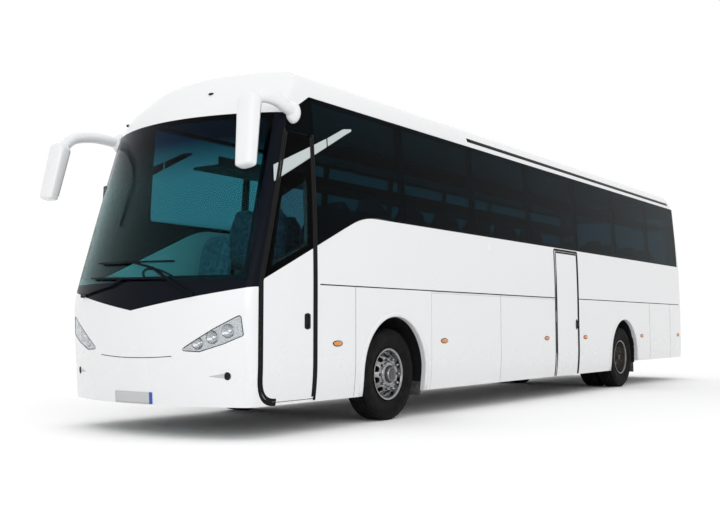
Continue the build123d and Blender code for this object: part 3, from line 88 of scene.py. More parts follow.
# Half width of the body at a height: tuck arc, upright, wall arc, shoulder arc
def sideX(z):
    half, skirtZ, tuckZ, tuckIn, tumbleZ = pick(body, "half skirtZ tuckZ tuckIn tumbleZ")
    eaveZ, eaveHalf, shoulderR = pick(body, "eaveZ eaveHalf shoulderR")
    z = np.asarray(z, float)
    tuckR = ((tuckZ - skirtZ) ** 2 + tuckIn**2) / (2 * tuckIn)
    over = half - eaveHalf
    wallR = ((eaveZ - tumbleZ) ** 2 + over**2) / (2 * over)
    wallTurn = math.asin((eaveZ - tumbleZ) / wallR)
    shoulderX = eaveHalf - shoulderR * math.cos(wallTurn)
    shoulderZ = eaveZ - shoulderR * math.sin(wallTurn)
    tuck = half - tuckR + np.sqrt(tuckR**2 - np.clip(tuckZ - z, 0, 1) ** 2)
    wall = half - wallR + np.sqrt(wallR**2 - np.clip(z - tumbleZ, 0, 3) ** 2)
    shoulder = shoulderX + np.sqrt(np.clip(shoulderR**2 - (z - shoulderZ) ** 2, 0, 9))
    return np.where(z < tuckZ, tuck, np.where(z < eaveZ, wall, shoulder))


# Radius of an end's turned skin at a height: chin cone, bend arc, leaning cone, cap arc
def endRadius(end, z):
    bow, bend, bendZ, headZ, topZ = pick(end, "bow bend bendZ headZ topZ")
    lean, chin = math.radians(end["lean"]), math.radians(end["chin"])
    z = np.asarray(z, float)
    centre = bow - bend
    footZ, footR = bendZ - bend * math.sin(chin), centre + bend * math.cos(chin)
    kneeZ, kneeR = bendZ + bend * math.sin(lean), centre + bend * math.cos(lean)
    headR = kneeR - (headZ - kneeZ) * math.tan(lean)
    capR = (topZ - headZ) / (1 - math.sin(lean))
    capX, capZ = headR - capR * math.cos(lean), headZ - capR * math.sin(lean)
    low = footR - (footZ - z) * math.tan(chin)
    arc = centre + np.sqrt(np.clip(bend**2 - (z - bendZ) ** 2, 0, 99))
    slope = kneeR - (z - kneeZ) * math.tan(lean)
    cap = capX + np.sqrt(np.clip(capR**2 - (z - capZ) ** 2, 0, 99))
    return np.where(z < footZ, low, np.where(z < kneeZ, arc, np.where(z < headZ, slope, cap)))


# Skins as functions of two parameters and a height above the skin
def onLeft(y, z, lift):
    return np.stack([sideX(z) + lift, y + 0 * z, z + 0 * y], -1)


def onRight(y, z, lift):
    return np.stack([-sideX(z) - lift, y + 0 * z, z + 0 * y], -1)


def onNose(x, z, lift):
    r = endRadius(nose, z) + lift
    return np.stack([x + 0 * z, body["noseY"] + nose["bow"] - np.sqrt(r**2 - x**2), z + 0 * x], -1)


def onTail(x, z, lift):
    r = endRadius(tail, z) + lift
    return np.stack([x + 0 * z, body["tailY"] - tail["bow"] + np.sqrt(r**2 - x**2), z + 0 * x], -1)


sides = {1: "left", -1: "right"}
skins = {1: onLeft, -1: onRight}
finishes = {}


# Merges doubles, which closes seams and poles, and turns every face outwards
def turnOutwards(mesh):
    work = bmesh.new()
    work.from_mesh(mesh)
    bmesh.ops.remove_doubles(work, verts=work.verts, dist=1e-5)
    bmesh.ops.recalc_face_normals(work, faces=work.faces)
    work.to_mesh(mesh)
    work.free()


# Mesh from a list of point grids; each grid may close round either way, marks give one number for each point, kept
# as an attribute that the rims' finish reads for the painted shade in the hand holes and the hub cap's tone
def gridObject(name, grids, finish, rider, closeU=False, closeV=False, marks=None):
    points, faces, start = [], [], 0
    for grid in grids:
        nu, nv = grid.shape[:2]
        ids = start + np.arange(nu * nv).reshape(nu, nv)
        ids = np.pad(ids, ((0, int(closeU)), (0, int(closeV))), "wrap")
        faces.append(np.stack([ids[:-1, :-1], ids[1:, :-1], ids[1:, 1:], ids[:-1, 1:]], -1).reshape(-1, 4))
        points.append(grid.reshape(-1, 3))
        start += nu * nv
    points, faces = np.concatenate(points), np.concatenate(faces)
    mesh = bpy.data.meshes.new(name)
    mesh.vertices.add(len(points))
    mesh.vertices.foreach_set("co", points.astype(np.float32).ravel())
    mesh.loops.add(faces.size)
    mesh.loops.foreach_set("vertex_index", faces.astype(np.int32).ravel())
    mesh.polygons.add(len(faces))
    mesh.polygons.foreach_set("loop_start", np.arange(0, faces.size, 4, dtype=np.int32))
    mesh.polygons.foreach_set("use_smooth", np.full(len(faces), True))
    mesh.update(calc_edges=True)
    if marks is not None:
        holeShadeAndCapMark = mesh.attributes.new("holeShadeAndCapMark", "FLOAT", "POINT")
        holeShadeAndCapMark.data.foreach_set("value", np.concatenate([m.ravel() for m in marks]).astype(np.float32))
    mesh.validate()
    turnOutwards(mesh)
    piece = bpy.data.objects.new(name, mesh)
    bpy.context.scene.collection.objects.link(piece)
    mesh.materials.append(finishes[finish])
    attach(piece, rider)
    return piece


# Two parameters as whole grids, and even angles round a full turn
def crossed(a, b):
    return np.meshgrid(a, b, indexing="ij")


def fullTurn(count):
    return np.linspace(0, 2 * math.pi, count, endpoint=False)


# Ribbon: a path in a skin's two parameters, as wide as given, crowned to a lift and sunk at both edges
def ribbon(skin, path, width, lift, sink=0.002, closed=False):
    path = np.asarray(path, float)
    ahead = np.roll(path, -1, 0) - np.roll(path, 1, 0)
    if not closed:
        ahead[0], ahead[-1] = path[1] - path[0], path[-1] - path[-2]
    ahead /= np.linalg.norm(ahead, axis=1, keepdims=True)
    across = np.stack([-ahead[:, 1], ahead[:, 0]], -1)
    steps = np.array([-0.5, -0.5, -0.42, 0.42, 0.5, 0.5]) * width
    lifts = np.array([-sink, lift * 0.5, lift, lift, lift * 0.5, -sink])
    flat = path[:, None, :] + across[:, None, :] * steps[None, :, None]
    grid = skin(flat[..., 0], flat[..., 1], np.broadcast_to(lifts, flat.shape[:2]))
    if closed:
        return np.concatenate([grid, grid[:1]], 0)
    base = skin(flat[..., 0], flat[..., 1], np.full(flat.shape[:2], -sink))
    return np.concatenate([base[:1], grid, base[-1:]], 0)


# Line from point to point with about even steps, so that a ribbon follows a curved skin
def runOf(points, step=0.05):
    points = np.asarray(points, float)
    parts = []
    for a, b in zip(points[:-1], points[1:]):
        count = max(2, int(np.linalg.norm(b - a) / step) + 1)
        parts.append(a + (b - a) * np.linspace(0, 1, count)[:-1, None])
    return np.concatenate(parts + [points[-1:]], 0)


# Corner points joined by quadratic curves that start where an arc of the radius would
def roundedRun(corners, radius, step=0.05, closed=False):
    corners = np.asarray(corners, float)
    out = []
    for i, p in enumerate(corners):
        if not closed and i in (0, len(corners) - 1):
            out.append(p[None])
            continue
        a, b = corners[i - 1] - p, corners[(i + 1) % len(corners)] - p
        a, b = a / np.linalg.norm(a), b / np.linalg.norm(b)
        half = math.acos(np.clip(a @ b, -1, 1)) / 2
        reach = radius / math.tan(half)
        t = np.linspace(0, 1, 9)[:, None]
        start, stop = p + a * reach, p + b * reach
        out.append((1 - t) ** 2 * start + 2 * t * (1 - t) * p + t**2 * stop)
    run = np.concatenate(out, 0)
    return runOf(np.concatenate([run, run[:1]], 0) if closed else run, step)


# Patch: a skin between a lower and an upper edge given over one parameter, lifted, its border sunk
def patchPiece(name, finish, rider, skin, us, low, high, lift, sink=0.002):
    us, low, high = np.broadcast_arrays(us, low, high)
    share = np.concatenate([[0.0], np.linspace(0, 1, 6), [1.0]])
    flatV = low[:, None] + (high - low)[:, None] * share[None, :]
    flatU = np.repeat(us[:, None], len(share), 1)
    lifts = np.full(flatU.shape, lift)
    lifts[:, [0, -1]] = -sink
    grid = skin(flatU, flatV, lifts)
    base = skin(flatU, flatV, np.full(flatU.shape, -sink))
    return gridObject(name, [np.concatenate([base[:1], grid, base[-1:]], 0)], finish, rider)


# Dome: an ellipse on a skin, its height over the skin falling off as a circle does from above a low rim
def domePiece(name, finish, rider, skin, centre, form, sink=0.003):
    share = np.concatenate([np.sin(np.linspace(0, math.pi / 2, 7)), [1.0]])
    rr, aa = crossed(share, fullTurn(28))
    lifts = form["rim"] + form["height"] * np.sqrt(np.clip(1 - rr**2, 0, 1))
    lifts[-1] = -sink
    across, up = form["size"][0] * rr * np.cos(aa), form["size"][1] * rr * np.sin(aa)
    return gridObject(name, [skin(centre[0] + across, centre[1] + up, lifts)], finish, rider, closeV=True)


# Tube: an oval carried along a path, its two radii given at each point, squarer as the power grows
def tube(path, radiusA, radiusB, turns, upward=(0.0, 0.0, 1.0), power=2.0):
    path = np.asarray(path, float)
    radiusA = np.broadcast_to(np.asarray(radiusA, float), len(path))
    radiusB = np.broadcast_to(np.asarray(radiusB, float), len(path))
    ahead = np.gradient(path, axis=0)
    ahead /= np.linalg.norm(ahead, axis=1, keepdims=True)
    sideways = np.cross(ahead, np.asarray(upward, float))
    sideways /= np.linalg.norm(sideways, axis=1, keepdims=True)
    over = np.cross(sideways, ahead)
    a = fullTurn(turns)
    c = np.sign(np.cos(a)) * np.abs(np.cos(a)) ** (2 / power)
    s = np.sign(np.sin(a)) * np.abs(np.sin(a)) ** (2 / power)
    grid = path[:, None] + sideways[:, None] * (radiusA[:, None] * c)[..., None]
    grid = grid + over[:, None] * (radiusB[:, None] * s)[..., None]
    ends = [np.repeat(p[None, None], turns, 1) for p in (path[0], path[-1])]
    return np.concatenate([ends[0], grid, ends[1]], 0)


# Smooth path through a few points: each stretch is a cubic with even tangents
def smoothPath(points, steps):
    p = np.asarray(points, float)
    p = np.concatenate([2 * p[:1] - p[1:2], p, 2 * p[-1:] - p[-2:-1]], 0)
    t = np.linspace(0, 1, steps, endpoint=False)[:, None]
    parts = []
    for a, b, c, d in zip(p[:-3], p[1:-2], p[2:-1], p[3:]):
        square, cube = 2 * a - 5 * b + 4 * c - d, 3 * b - a - 3 * c + d
        parts.append(0.5 * (2 * b + (c - a) * t + square * t**2 + cube * t**3))
    return np.concatenate(parts + [p[-2:-1]], 0)


# Turned surface about a wheel's axis: profile of axial place and radius, swept round X
def turnedGrid(profile, centre, side, turns, dent=None):
    profile = np.asarray(profile, float)
    a = fullTurn(turns)
    axial = np.repeat(profile[:, 0][None], turns, 0)
    radius = np.repeat(profile[:, 1][None], turns, 0)
    if dent is not None:
        axial, radius = dent(a[:, None], axial, radius)
    y = centre[1] + radius * np.cos(a)[:, None]
    return np.stack([centre[0] + side * axial, y, centre[2] + radius * np.sin(a)[:, None]], -1)


# A finish's principled shader, with its sockets set
def newFinish(name, sockets):
    finishes[name] = bpy.data.materials.new(name)
    finishes[name].use_nodes = True
    tree = finishes[name].node_tree
    for socket, value in sockets.items():
        value = (*value, 1.0) if socket == "Base Color" else value
        tree.nodes["Principled BSDF"].inputs[socket].default_value = value
    return tree


def addNode(tree, kind, inputs=None, **settings):
    node = tree.nodes.new(kind)
    for key, value in settings.items():
        setattr(node, key, value)
    for key, value in (inputs or {}).items():
        if isinstance(value, bpy.types.NodeSocket):
            tree.links.new(value, node.inputs[key])
        else:
            node.inputs[key].default_value = value
    return node


def mathNode(tree, kind, *values):
    return addNode(tree, "ShaderNodeMath", dict(enumerate(values)), operation=kind).outputs[0]


def toShader(tree, value, socket):
    tree.links.new(value, tree.nodes["Principled BSDF"].inputs[socket])


def objectPlace(tree):
    return addNode(tree, "ShaderNodeTexCoord").outputs["Object"]


def placeParts(tree):
    return addNode(tree, "ShaderNodeSeparateXYZ", {"Vector": objectPlace(tree)}).outputs


def patternOf(tree, kind, scale, **settings):
    return addNode(tree, kind, {"Vector": objectPlace(tree), "Scale": scale}, **settings).outputs["Fac"]


def grain(tree, scale, detail=3.0):
    noise = patternOf(tree, "ShaderNodeTexNoise", scale)
    noise.node.inputs["Detail"].default_value = detail
    return noise


# A value between two ends, as another one goes from low to high
def ranged(tree, value, low, high, fromLow=0.35, fromHigh=0.65):
    inputs = {"Value": value, "From Min": fromLow, "From Max": fromHigh, "To Min": low, "To Max": high}
    return addNode(tree, "ShaderNodeMapRange", inputs).outputs["Result"]


# Colour mixed between two by a value
def blendColour(tree, value, low, high, fromLow=0.35, fromHigh=0.65):
    ramp = addNode(tree, "ShaderNodeValToRGB", {"Fac": value})
    for element, place, colour in zip(ramp.color_ramp.elements, (fromLow, fromHigh), (low, high)):
        element.position = place
        element.color = (*colour, 1.0)
    toShader(tree, ramp.outputs["Color"], "Base Color")
    return ramp


def emboss(tree, value, strength, depth):
    bump = addNode(tree, "ShaderNodeBump", {"Height": value, "Strength": strength, "Distance": depth})
    toShader(tree, bump.outputs["Normal"], "Normal")


# White gloss paint: dust grows towards the road and in patches; black over the glass line and in door joints
paintLook = {
    "white": (0.87, 0.877, 0.89), "dusty": (0.845, 0.85, 0.855), "black": (0.012, 0.013, 0.016),
    "rough": 0.22, "dustRough": 0.14, "coat": 0.4, "coatRough": 0.06,
    "dustZ": (0.3, 1.0), "dustLow": 0.22, "patches": 2.2, "patchShare": 0.5, "dustRange": (0.05, 0.85),
    "peel": 420.0, "peelStrength": 0.02, "peelDepth": 0.0006,
    "jointY": (-6.104, -5.296, 0.441, 1.264), "jointWide": 0.013, "jointTurn": 0.6,
}


# Place says which faces turn black: none when plain, a side wall's, or a door leaf's
def makePaint(name, place):
    look = paintLook
    tree = newFinish(name, {"Coat Weight": look["coat"], "Coat Roughness": look["coatRough"]})
    spot = placeParts(tree)
    low = ranged(tree, spot["Z"], look["dustLow"], 0.0, *look["dustZ"])
    dust = mathNode(tree, "ADD", low, mathNode(tree, "MULTIPLY", grain(tree, look["patches"]), look["patchShare"]))
    ramp = blendColour(tree, dust, look["white"], look["dusty"], *look["dustRange"])
    rough = ranged(tree, dust, look["rough"], look["rough"] + look["dustRough"], *look["dustRange"])
    toShader(tree, rough, "Roughness")
    emboss(tree, grain(tree, look["peel"], 1.0), look["peelStrength"], look["peelDepth"])
    if place == "plain":
        return
    # black where the panes lie over the wall: above the belt's rise, then above a level sill
    offset = body["riseZ"] - body["riseY"] * body["riseSlope"]
    slope = mathNode(tree, "MULTIPLY_ADD", spot["Y"], body["riseSlope"], offset)
    edge = mathNode(tree, "SMOOTH_MIN", slope, body["glassZ"], body["riseBend"])
    dark = mathNode(tree, "GREATER_THAN", mathNode(tree, "SUBTRACT", spot["Z"], edge), 0.0)
    # and in a door's joint: on faces all round a leaf, and on the upright faces of its opening
    normal = addNode(tree, "ShaderNodeTexCoord").outputs["Normal"]
    facing = addNode(tree, "ShaderNodeSeparateXYZ", {"Vector": normal}).outputs
    if place == "leaf":
        dark = mathNode(tree, "MAXIMUM", dark, mathNode(tree, "COMPARE", facing["X"], 0.0, look["jointTurn"]))
    else:
        upright = mathNode(tree, "GREATER_THAN", mathNode(tree, "ABSOLUTE", facing["Y"]), look["jointTurn"])
        for y in look["jointY"]:
            near = mathNode(tree, "COMPARE", spot["Y"], y, look["jointWide"])
            dark = mathNode(tree, "MAXIMUM", dark, mathNode(tree, "MULTIPLY", upright, near))
    colours = {"Factor": dark, 6: ramp.outputs["Color"], 7: (*look["black"], 1.0)}
    toShader(tree, addNode(tree, "ShaderNodeMix", colours, data_type="RGBA").outputs[2], "Base Color")


paints = {"whitePaint": "plain", "mirrorShell": "plain", "sidePaint": "wall", "doorPaint": "leaf"}
for name, place in paints.items():
    makePaint(name, place)

# Finishes: shader sockets by name, and what varies over Object coordinates:
# rough is a grain's scale and two roughnesses, dye a grain's scale and detail and two colours,
# bump a grain's scale and detail, strength and depth, relief another pattern with scale, strength and depth
finishLooks = {
    "sideGlass": {
        "Base Color": (0.032, 0.11, 0.14), "Transmission Weight": 1.0, "IOR": 1.08, "rough": (3.0, 0.015, 0.05),
    },
    "lensGlass": {
        "Base Color": (0.95, 0.97, 0.98), "Transmission Weight": 1.0, "IOR": 1.4, "rough": (9.0, 0.01, 0.05),
    },
    "maskBlack": {
        "Base Color": (0.006, 0.008, 0.012), "Specular IOR Level": 0.03, "rough": (14.0, 0.09, 0.2),
    },
    "sealRubber": {
        "Base Color": (0.008, 0.008, 0.009), "Roughness": 0.6, "Specular IOR Level": 0.08,
        "bump": (180.0, 3.0, 0.15, 0.001),
    },
    "darkGap": {"Base Color": (0.02, 0.022, 0.024), "Specular IOR Level": 0.1, "rough": (40.0, 0.7, 0.9)},
    "plasticDark": {
        "Base Color": (0.012, 0.012, 0.013), "Specular IOR Level": 0.15, "rough": (20.0, 0.42, 0.62),
        "bump": (300.0, 3.0, 0.25, 0.0008),
    },
    "lampSilver": {"Base Color": (0.62, 0.64, 0.66), "Metallic": 0.4, "rough": (30.0, 0.2, 0.36)},
    "chrome": {"Base Color": (0.82, 0.83, 0.85), "Metallic": 1.0, "rough": (25.0, 0.05, 0.16)},
    "dishGrey": {"Base Color": (0.40, 0.41, 0.43), "Metallic": 1.0, "rough": (25.0, 0.08, 0.2)},
    "castIron": {
        "Roughness": 0.7, "Metallic": 0.3, "bump": (90.0, 5.0, 0.35, 0.003),
        "dye": (6.0, 5.0, (0.04, 0.038, 0.036), (0.085, 0.075, 0.066)),
    },
    "frameSteel": {
        "Metallic": 0.2, "rough": (30.0, 0.4, 0.7),
        "dye": (4.0, 5.0, (0.022, 0.022, 0.024), (0.055, 0.05, 0.045)),
    },
    "tyreRubber": {
        "Roughness": 0.8, "Specular IOR Level": 0.12, "bump": (240.0, 3.0, 0.2, 0.001),
        "dye": (12.0, 4.0, (0.004, 0.004, 0.0045), (0.011, 0.0105, 0.010)),
    },
    "flapGrey": {"Roughness": 0.7, "dye": (18.0, 4.0, (0.05, 0.05, 0.05), (0.14, 0.138, 0.134))},
    "floorVinyl": {"Roughness": 0.6, "dye": (130.0, 1.0, (0.075, 0.08, 0.09), (0.14, 0.145, 0.155))},
    "dashGrey": {
        "Base Color": (0.045, 0.048, 0.052), "rough": (10.0, 0.5, 0.7), "bump": (260.0, 3.0, 0.4, 0.001),
    },
    "seatCloth": {
        "Roughness": 0.9, "Sheen Weight": 0.3, "dye": (22.0, 4.0, (0.07, 0.10, 0.16), (0.16, 0.20, 0.26)),
    },
    "amberLens": {"Base Color": (0.75, 0.25, 0.02), "Coat Weight": 0.5, "rough": (60.0, 0.12, 0.3)},
    "redLens": {
        "Base Color": (0.42, 0.012, 0.012), "Roughness": 0.18, "Coat Weight": 0.5,
        "relief": ("ShaderNodeTexWave", 14.0, 0.2, 0.002),
    },
    "hatchGrey": {
        "Base Color": (0.42, 0.43, 0.44), "rough": (12.0, 0.28, 0.45), "bump": (200.0, 3.0, 0.2, 0.001),
    },
    "luggageFloor": {
        "Roughness": 0.5, "Metallic": 0.5, "relief": ("ShaderNodeTexChecker", 40.0, 0.2, 0.001),
        "dye": (8.0, 5.0, (0.11, 0.11, 0.115), (0.22, 0.22, 0.225)),
    },
    "plateGrey": {"Base Color": (0.55, 0.56, 0.57), "rough": (50.0, 0.35, 0.5)},
    "plateBlue": {"Base Color": (0.02, 0.09, 0.42), "rough": (50.0, 0.35, 0.5)},
    "paleStripe": {"Base Color": (0.52, 0.58, 0.58), "Coat Weight": 0.4, "rough": (6.0, 0.1, 0.25)},
    "mirrorGlass": {"Base Color": (0.75, 0.77, 0.8), "Metallic": 1.0, "rough": (8.0, 0.02, 0.05)},
}
variedKeys = ("rough", "dye", "bump", "relief")
for name, look in finishLooks.items():
    tree = newFinish(name, {key: value for key, value in look.items() if key not in variedKeys})
    if "rough" in look:
        scale, *ends = look["rough"]
        toShader(tree, ranged(tree, grain(tree, scale), *ends), "Roughness")
    if "dye" in look:
        scale, detail, *colours = look["dye"]
        blendColour(tree, grain(tree, scale, detail), *colours)
    if "bump" in look:
        scale, detail, *depths = look["bump"]
        emboss(tree, grain(tree, scale, detail), *depths)
    if "relief" in look:
        kind, scale, *depths = look["relief"]
        emboss(tree, patternOf(tree, kind, scale), *depths)

# Weave: two crossed waves at thread scale
weave = {"scale": 160.0, "strength": 0.3, "depth": 0.002}
tree = finishes["seatCloth"].node_tree
threads = [patternOf(tree, "ShaderNodeTexWave", weave["scale"], bands_direction=way) for way in ("X", "Z")]
emboss(tree, mathNode(tree, "MULTIPLY", *threads), weave["strength"], weave["depth"])

# Windscreen: clear below, shaded towards the top
screenLook = {
    "clear": (0.34, 0.84, 0.86), "shaded": (0.012, 0.07, 0.15), "shadeZ": (2.42, 3.05), "shadeRange": (0.1, 0.75),
}
tree = newFinish("screenGlass", {"Roughness": 0.02, "Transmission Weight": 1.0, "IOR": 1.13})
shade = ranged(tree, placeParts(tree)["Z"], 0.0, 1.0, *screenLook["shadeZ"])
blendColour(tree, shade, screenLook["clear"], screenLook["shaded"], *screenLook["shadeRange"])

# Door pane: dark printed border, and lighter glass inside four straight edges given as points in Y and Z
doorPane = {
    "edge": ((-5.955, 1.60), (-5.40, 1.845), (-5.395, 2.49), (-5.80, 2.28)),
    "clear": (0.30, 0.44, 0.48), "dark": (0.012, 0.016, 0.02), "sharp": 20.0,
}
tree = newFinish("doorGlass", {"Roughness": 0.03, "Transmission Weight": 1.0, "IOR": 1.08})
spot = placeParts(tree)
inner = []
for (y0, z0), (y1, z1) in zip(doorPane["edge"], doorPane["edge"][1:] + doorPane["edge"][:1]):
    length = math.hypot(y1 - y0, z1 - z0)
    across = mathNode(tree, "MULTIPLY", spot["Y"], (z0 - z1) / length)
    rise = mathNode(tree, "MULTIPLY_ADD", spot["Z"], (y1 - y0) / length, (y0 * z1 - y1 * z0) / length)
    inner.append(mathNode(tree, "ADD", across, rise))
inside = inner[0]
for edge in inner[1:]:
    inside = mathNode(tree, "MINIMUM", inside, edge)
inside = mathNode(tree, "MULTIPLY_ADD", inside, doorPane["sharp"], 0.5)
blendColour(tree, inside, doorPane["dark"], doorPane["clear"], 0.4, 0.6)

# Rims: stained metal, rougher where it is stained; hand holes are painted near black, as painted shade for the
# dark inside seen through them
rimLooks = {
    "polishedRim": {"metal": 1.0, "bright": (0.34, 0.345, 0.355), "dull": (0.12, 0.117, 0.115)},
    "rustyRim": {"metal": 0.8, "bright": (0.20, 0.19, 0.18), "dull": (0.07, 0.06, 0.05)},
}
stain = {
    "scale": 18.0, "detail": 5.0, "share": 0.55, "range": (0.2, 0.5), "rough": (0.14, 0.34, 0.18, 0.4),
    "holeAt": 0.95, "holeShade": (0.012, 0.012, 0.012),
}
for name, look in rimLooks.items():
    tree = newFinish(name, {"Metallic": look["metal"]})
    holeShade = addNode(tree, "ShaderNodeAttribute", attribute_name="holeShadeAndCapMark").outputs["Fac"]
    stained = mathNode(tree, "MULTIPLY", grain(tree, stain["scale"], stain["detail"]), stain["share"])
    ramp = blendColour(tree, mathNode(tree, "ADD", stained, holeShade), look["bright"], look["dull"], *stain["range"])
    # near black at full hole depth: painted shade where the hand holes would show the wheel's dark inside
    ramp.color_ramp.elements.new(stain["holeAt"]).color = (*stain["holeShade"], 1.0)
    toShader(tree, ranged(tree, stained, *stain["rough"]), "Roughness")

nodeFinish = {
    "sidePaint": ("side_wall_left", "side_wall_right"), "doorPaint": ("front_door", "middle_door"),
    "whitePaint": (
        "front_fascia", "roof_cap", "roof", "rear_wall", "engine_lid", "luggage_flap_left_front",
        "luggage_flap_left_rear", "luggage_flap_right_front", "luggage_flap_right_rear",
    ),
    "sideGlass": ("side_glass_left", "side_glass_right", "rear_window"), "doorGlass": ("front_door_glass",),
    "screenGlass": ("windscreen",), "lensGlass": ("headlamp_lenses",), "lampSilver": ("headlamps",),
    "maskBlack": ("screen_frame", "wipers"), "redLens": ("tail_lamps",), "hatchGrey": ("roof_hatches",),
    "frameSteel": ("front_door_arm", "front_frame", "rear_frame", "front_bulkhead"),
    "floorVinyl": ("entrance_steps", "middle_steps", "cabin_floor"), "luggageFloor": ("luggage_floor",),
    "plasticDark": ("wheel_housings", "steering_wheel"), "flapGrey": ("mud_flaps",),
    "castIron": ("front_axle", "knuckle_left", "knuckle_right", "rear_axle", "engine_block"),
    "sealRubber": ("air_springs",), "seatCloth": ("seats",), "dashGrey": ("dashboard", "luggage_racks"),
    "mirrorShell": ("mirrors",), "rustyRim": ("rear_rims_left", "rear_rims_right"),
    "polishedRim": ("front_rim_left", "front_rim_right"),
    "tyreRubber": ("front_tyre_left", "front_tyre_right", "rear_tyres_left", "rear_tyres_right"),
}
for finish, names in nodeFinish.items():
    for name in names:
        nodes[name].data.materials.clear()
        nodes[name].data.materials.append(finishes[finish])
print("finishes set on", sum(len(names) for names in nodeFinish.values()), "of", len(nodes), "nodes")

# Tyres: rounded carcass with straight grooves and sideways cuts in the tread, fine ribs on the walls
tyre = {
    "radius": 0.508, "bead": 0.2865, "treadHalf": 0.105, "crown": 0.003, "treadR": 0.47,
    "wall": ((-0.122, 0.3165), (-0.145, 0.40), (-0.139, 0.455), (-0.122, 0.494)),
    "groove": 0.012, "grooveHalf": 0.0055, "grooveEdge": 0.0075, "grooves": (-0.07, -0.024, 0.024, 0.07),
    "cuts": 64, "cutDepth": 0.008, "cutShare": 0.13, "cutX": (0.078, 0.124), "ribs": 0.0012, "ribR": (0.33, 0.45),
}


# From bead to bead: smooth walls, and a crown that falls with the square of the place across
def tyreProfile():
    top, bead, tread, drop, half, edge = pick(tyre, "radius bead treadHalf crown grooveHalf grooveEdge")
    wall = smoothPath([(-tread, bead), *tyre["wall"], (-tread, top - drop)], 5)
    marks = [np.array(tyre["grooves"]) + step for step in (-edge, -half, half, edge)]
    marks = np.sort(np.concatenate(marks + [np.linspace(-0.1, 0.1, 9)]))
    crown = np.stack([marks, top - drop * (marks / tread) ** 2], -1)
    return np.concatenate([wall, crown, wall[::-1] * (-1, 1)], 0)


# Radius less the grooves' and cuts' depth; the walls wave outwards by a cosine of the radius
def treadDent(angle, axial, radius):
    half, edge, (cutX, treadX), (ribLow, ribHigh) = pick(tyre, "grooveHalf grooveEdge cutX ribR")
    fromGroove = np.min(np.abs(axial[..., None] - np.array(tyre["grooves"])), -1)
    onTread = (np.abs(axial) < treadX) & (radius > tyre["treadR"])
    inGroove = onTread & (fromGroove < (half + edge) / 2)
    wave = np.abs(((angle / (2 * math.pi) * tyre["cuts"] + 0.5 * (axial > 0)) % 1.0) - 0.5)
    inCut = onTread & (np.abs(axial) > cutX) & (wave < tyre["cutShare"]) & ~inGroove
    depth = tyre["groove"] * inGroove + tyre["cutDepth"] * inCut
    onWall = (radius > ribLow) & (radius < ribHigh)
    ribs = tyre["ribs"] * np.cos(60 * math.pi * (radius - ribLow)) * onWall
    return axial + np.sign(axial) * ribs, radius - depth


# Rims: turned profiles as axial place and radius; nut and hub start from the disc's face
rim = {
    "holes": 10, "holeAt": 0.205, "holeSize": (0.03, 0.024), "holeDeep": 0.05, "nuts": 10, "nutAt": 0.1675,
    "capR": 0.07, "capMark": 0.32, "discFrom": 40,
    "front": (
        (-0.118, 0.2862), (-0.11, 0.268), (-0.02, 0.256), (0.09, 0.262), (0.118, 0.2862), (0.124, 0.279),
        (0.113, 0.262), (0.07, 0.252), (0.055, 0.240), (0.082, 0.216), (0.112, 0.188), (0.121, 0.172),
        (0.121, 0.150), (0.112, 0.135),
    ),
    "rear": (
        (-0.118, 0.2862), (-0.10, 0.268), (0.02, 0.260), (0.10, 0.266), (0.118, 0.2862), (0.124, 0.279),
        (0.112, 0.262), (0.05, 0.254), (-0.03, 0.236), (-0.085, 0.205), (-0.104, 0.175), (-0.104, 0.150),
        (-0.104, 0.135),
    ),
    "inner": (
        (0.118, 0.2862), (0.10, 0.268), (-0.02, 0.260), (-0.10, 0.266), (-0.118, 0.2862), (-0.124, 0.279),
        (-0.112, 0.262), (-0.02, 0.252), (0.05, 0.250), (0.10, 0.212), (0.15, 0.170), (0.16, 0.13), (0.16, 0.052),
    ),
    "nut": ((0.0, 0.0001), (0.052, 0.0001), (0.05, 0.011), (0.03, 0.0175), (-0.01, 0.0175)),
    "hub": (
        (-0.03, 0.137), (0.012, 0.134), (0.022, 0.112), (0.022, 0.100), (0.006, 0.092), (0.006, 0.086),
        (0.05, 0.078), (0.062, 0.06), (0.064, 0.03), (0.064, 0.0005),
    ),
}


# Depth share of the hand holes: ovals spaced evenly round a circle, with soft edges
def holeDepth(angle, radius):
    holes, at, (halfRound, halfOut) = pick(rim, "holes holeAt holeSize")
    turn = (angle / (2 * math.pi) * holes) % 1.0 - 0.5
    along = turn * 2 * math.pi / holes * at
    away = np.hypot(along / halfRound, (radius - at) / halfOut)
    return np.clip((1.15 - away) / 0.3, 0, 1)


def holeDent(angle, axial, radius):
    return axial - rim["holeDeep"] * holeDepth(angle, radius), radius


# Disc with hand holes, ring of nuts, hub, and for a twin pair the inner rim
def rimPiece(name, form, centres, side, finish, rider, turns=240):
    profile = smoothPath(rim[form], 6)
    face = (profile[-1][0], 0.0)
    grids = [turnedGrid(profile, centres[0], side, turns, holeDent)]
    # the hand holes' depth share goes on as a mark, which the rims' finish paints as shade
    depth = holeDepth(fullTurn(turns)[:, None], np.repeat(profile[None, :, 1], turns, 0))
    marks = [depth * (np.arange(len(profile)) > rim["discFrom"])[None]]
    for turn in fullTurn(rim["nuts"]):
        away = rim["nutAt"] * np.array([0.0, math.cos(turn), math.sin(turn)])
        grids.append(turnedGrid(np.array(rim["nut"]) + face, np.array(centres[0]) + away, side, 6))
        marks.append(np.zeros(grids[-1].shape[:2]))
    hub = smoothPath(np.array(rim["hub"]) + face, 5)
    grids.append(turnedGrid(hub, centres[0], side, 64))
    marks.append(np.repeat(((hub[:, 1] < rim["capR"]) * rim["capMark"])[None], 64, 0))
    for centre in centres[1:]:
        grids.append(turnedGrid(smoothPath(rim["inner"], 4), centre, side, 96))
        marks.append(np.zeros(grids[-1].shape[:2]))
    return gridObject(name, grids, finish, rider, closeU=True, marks=marks)


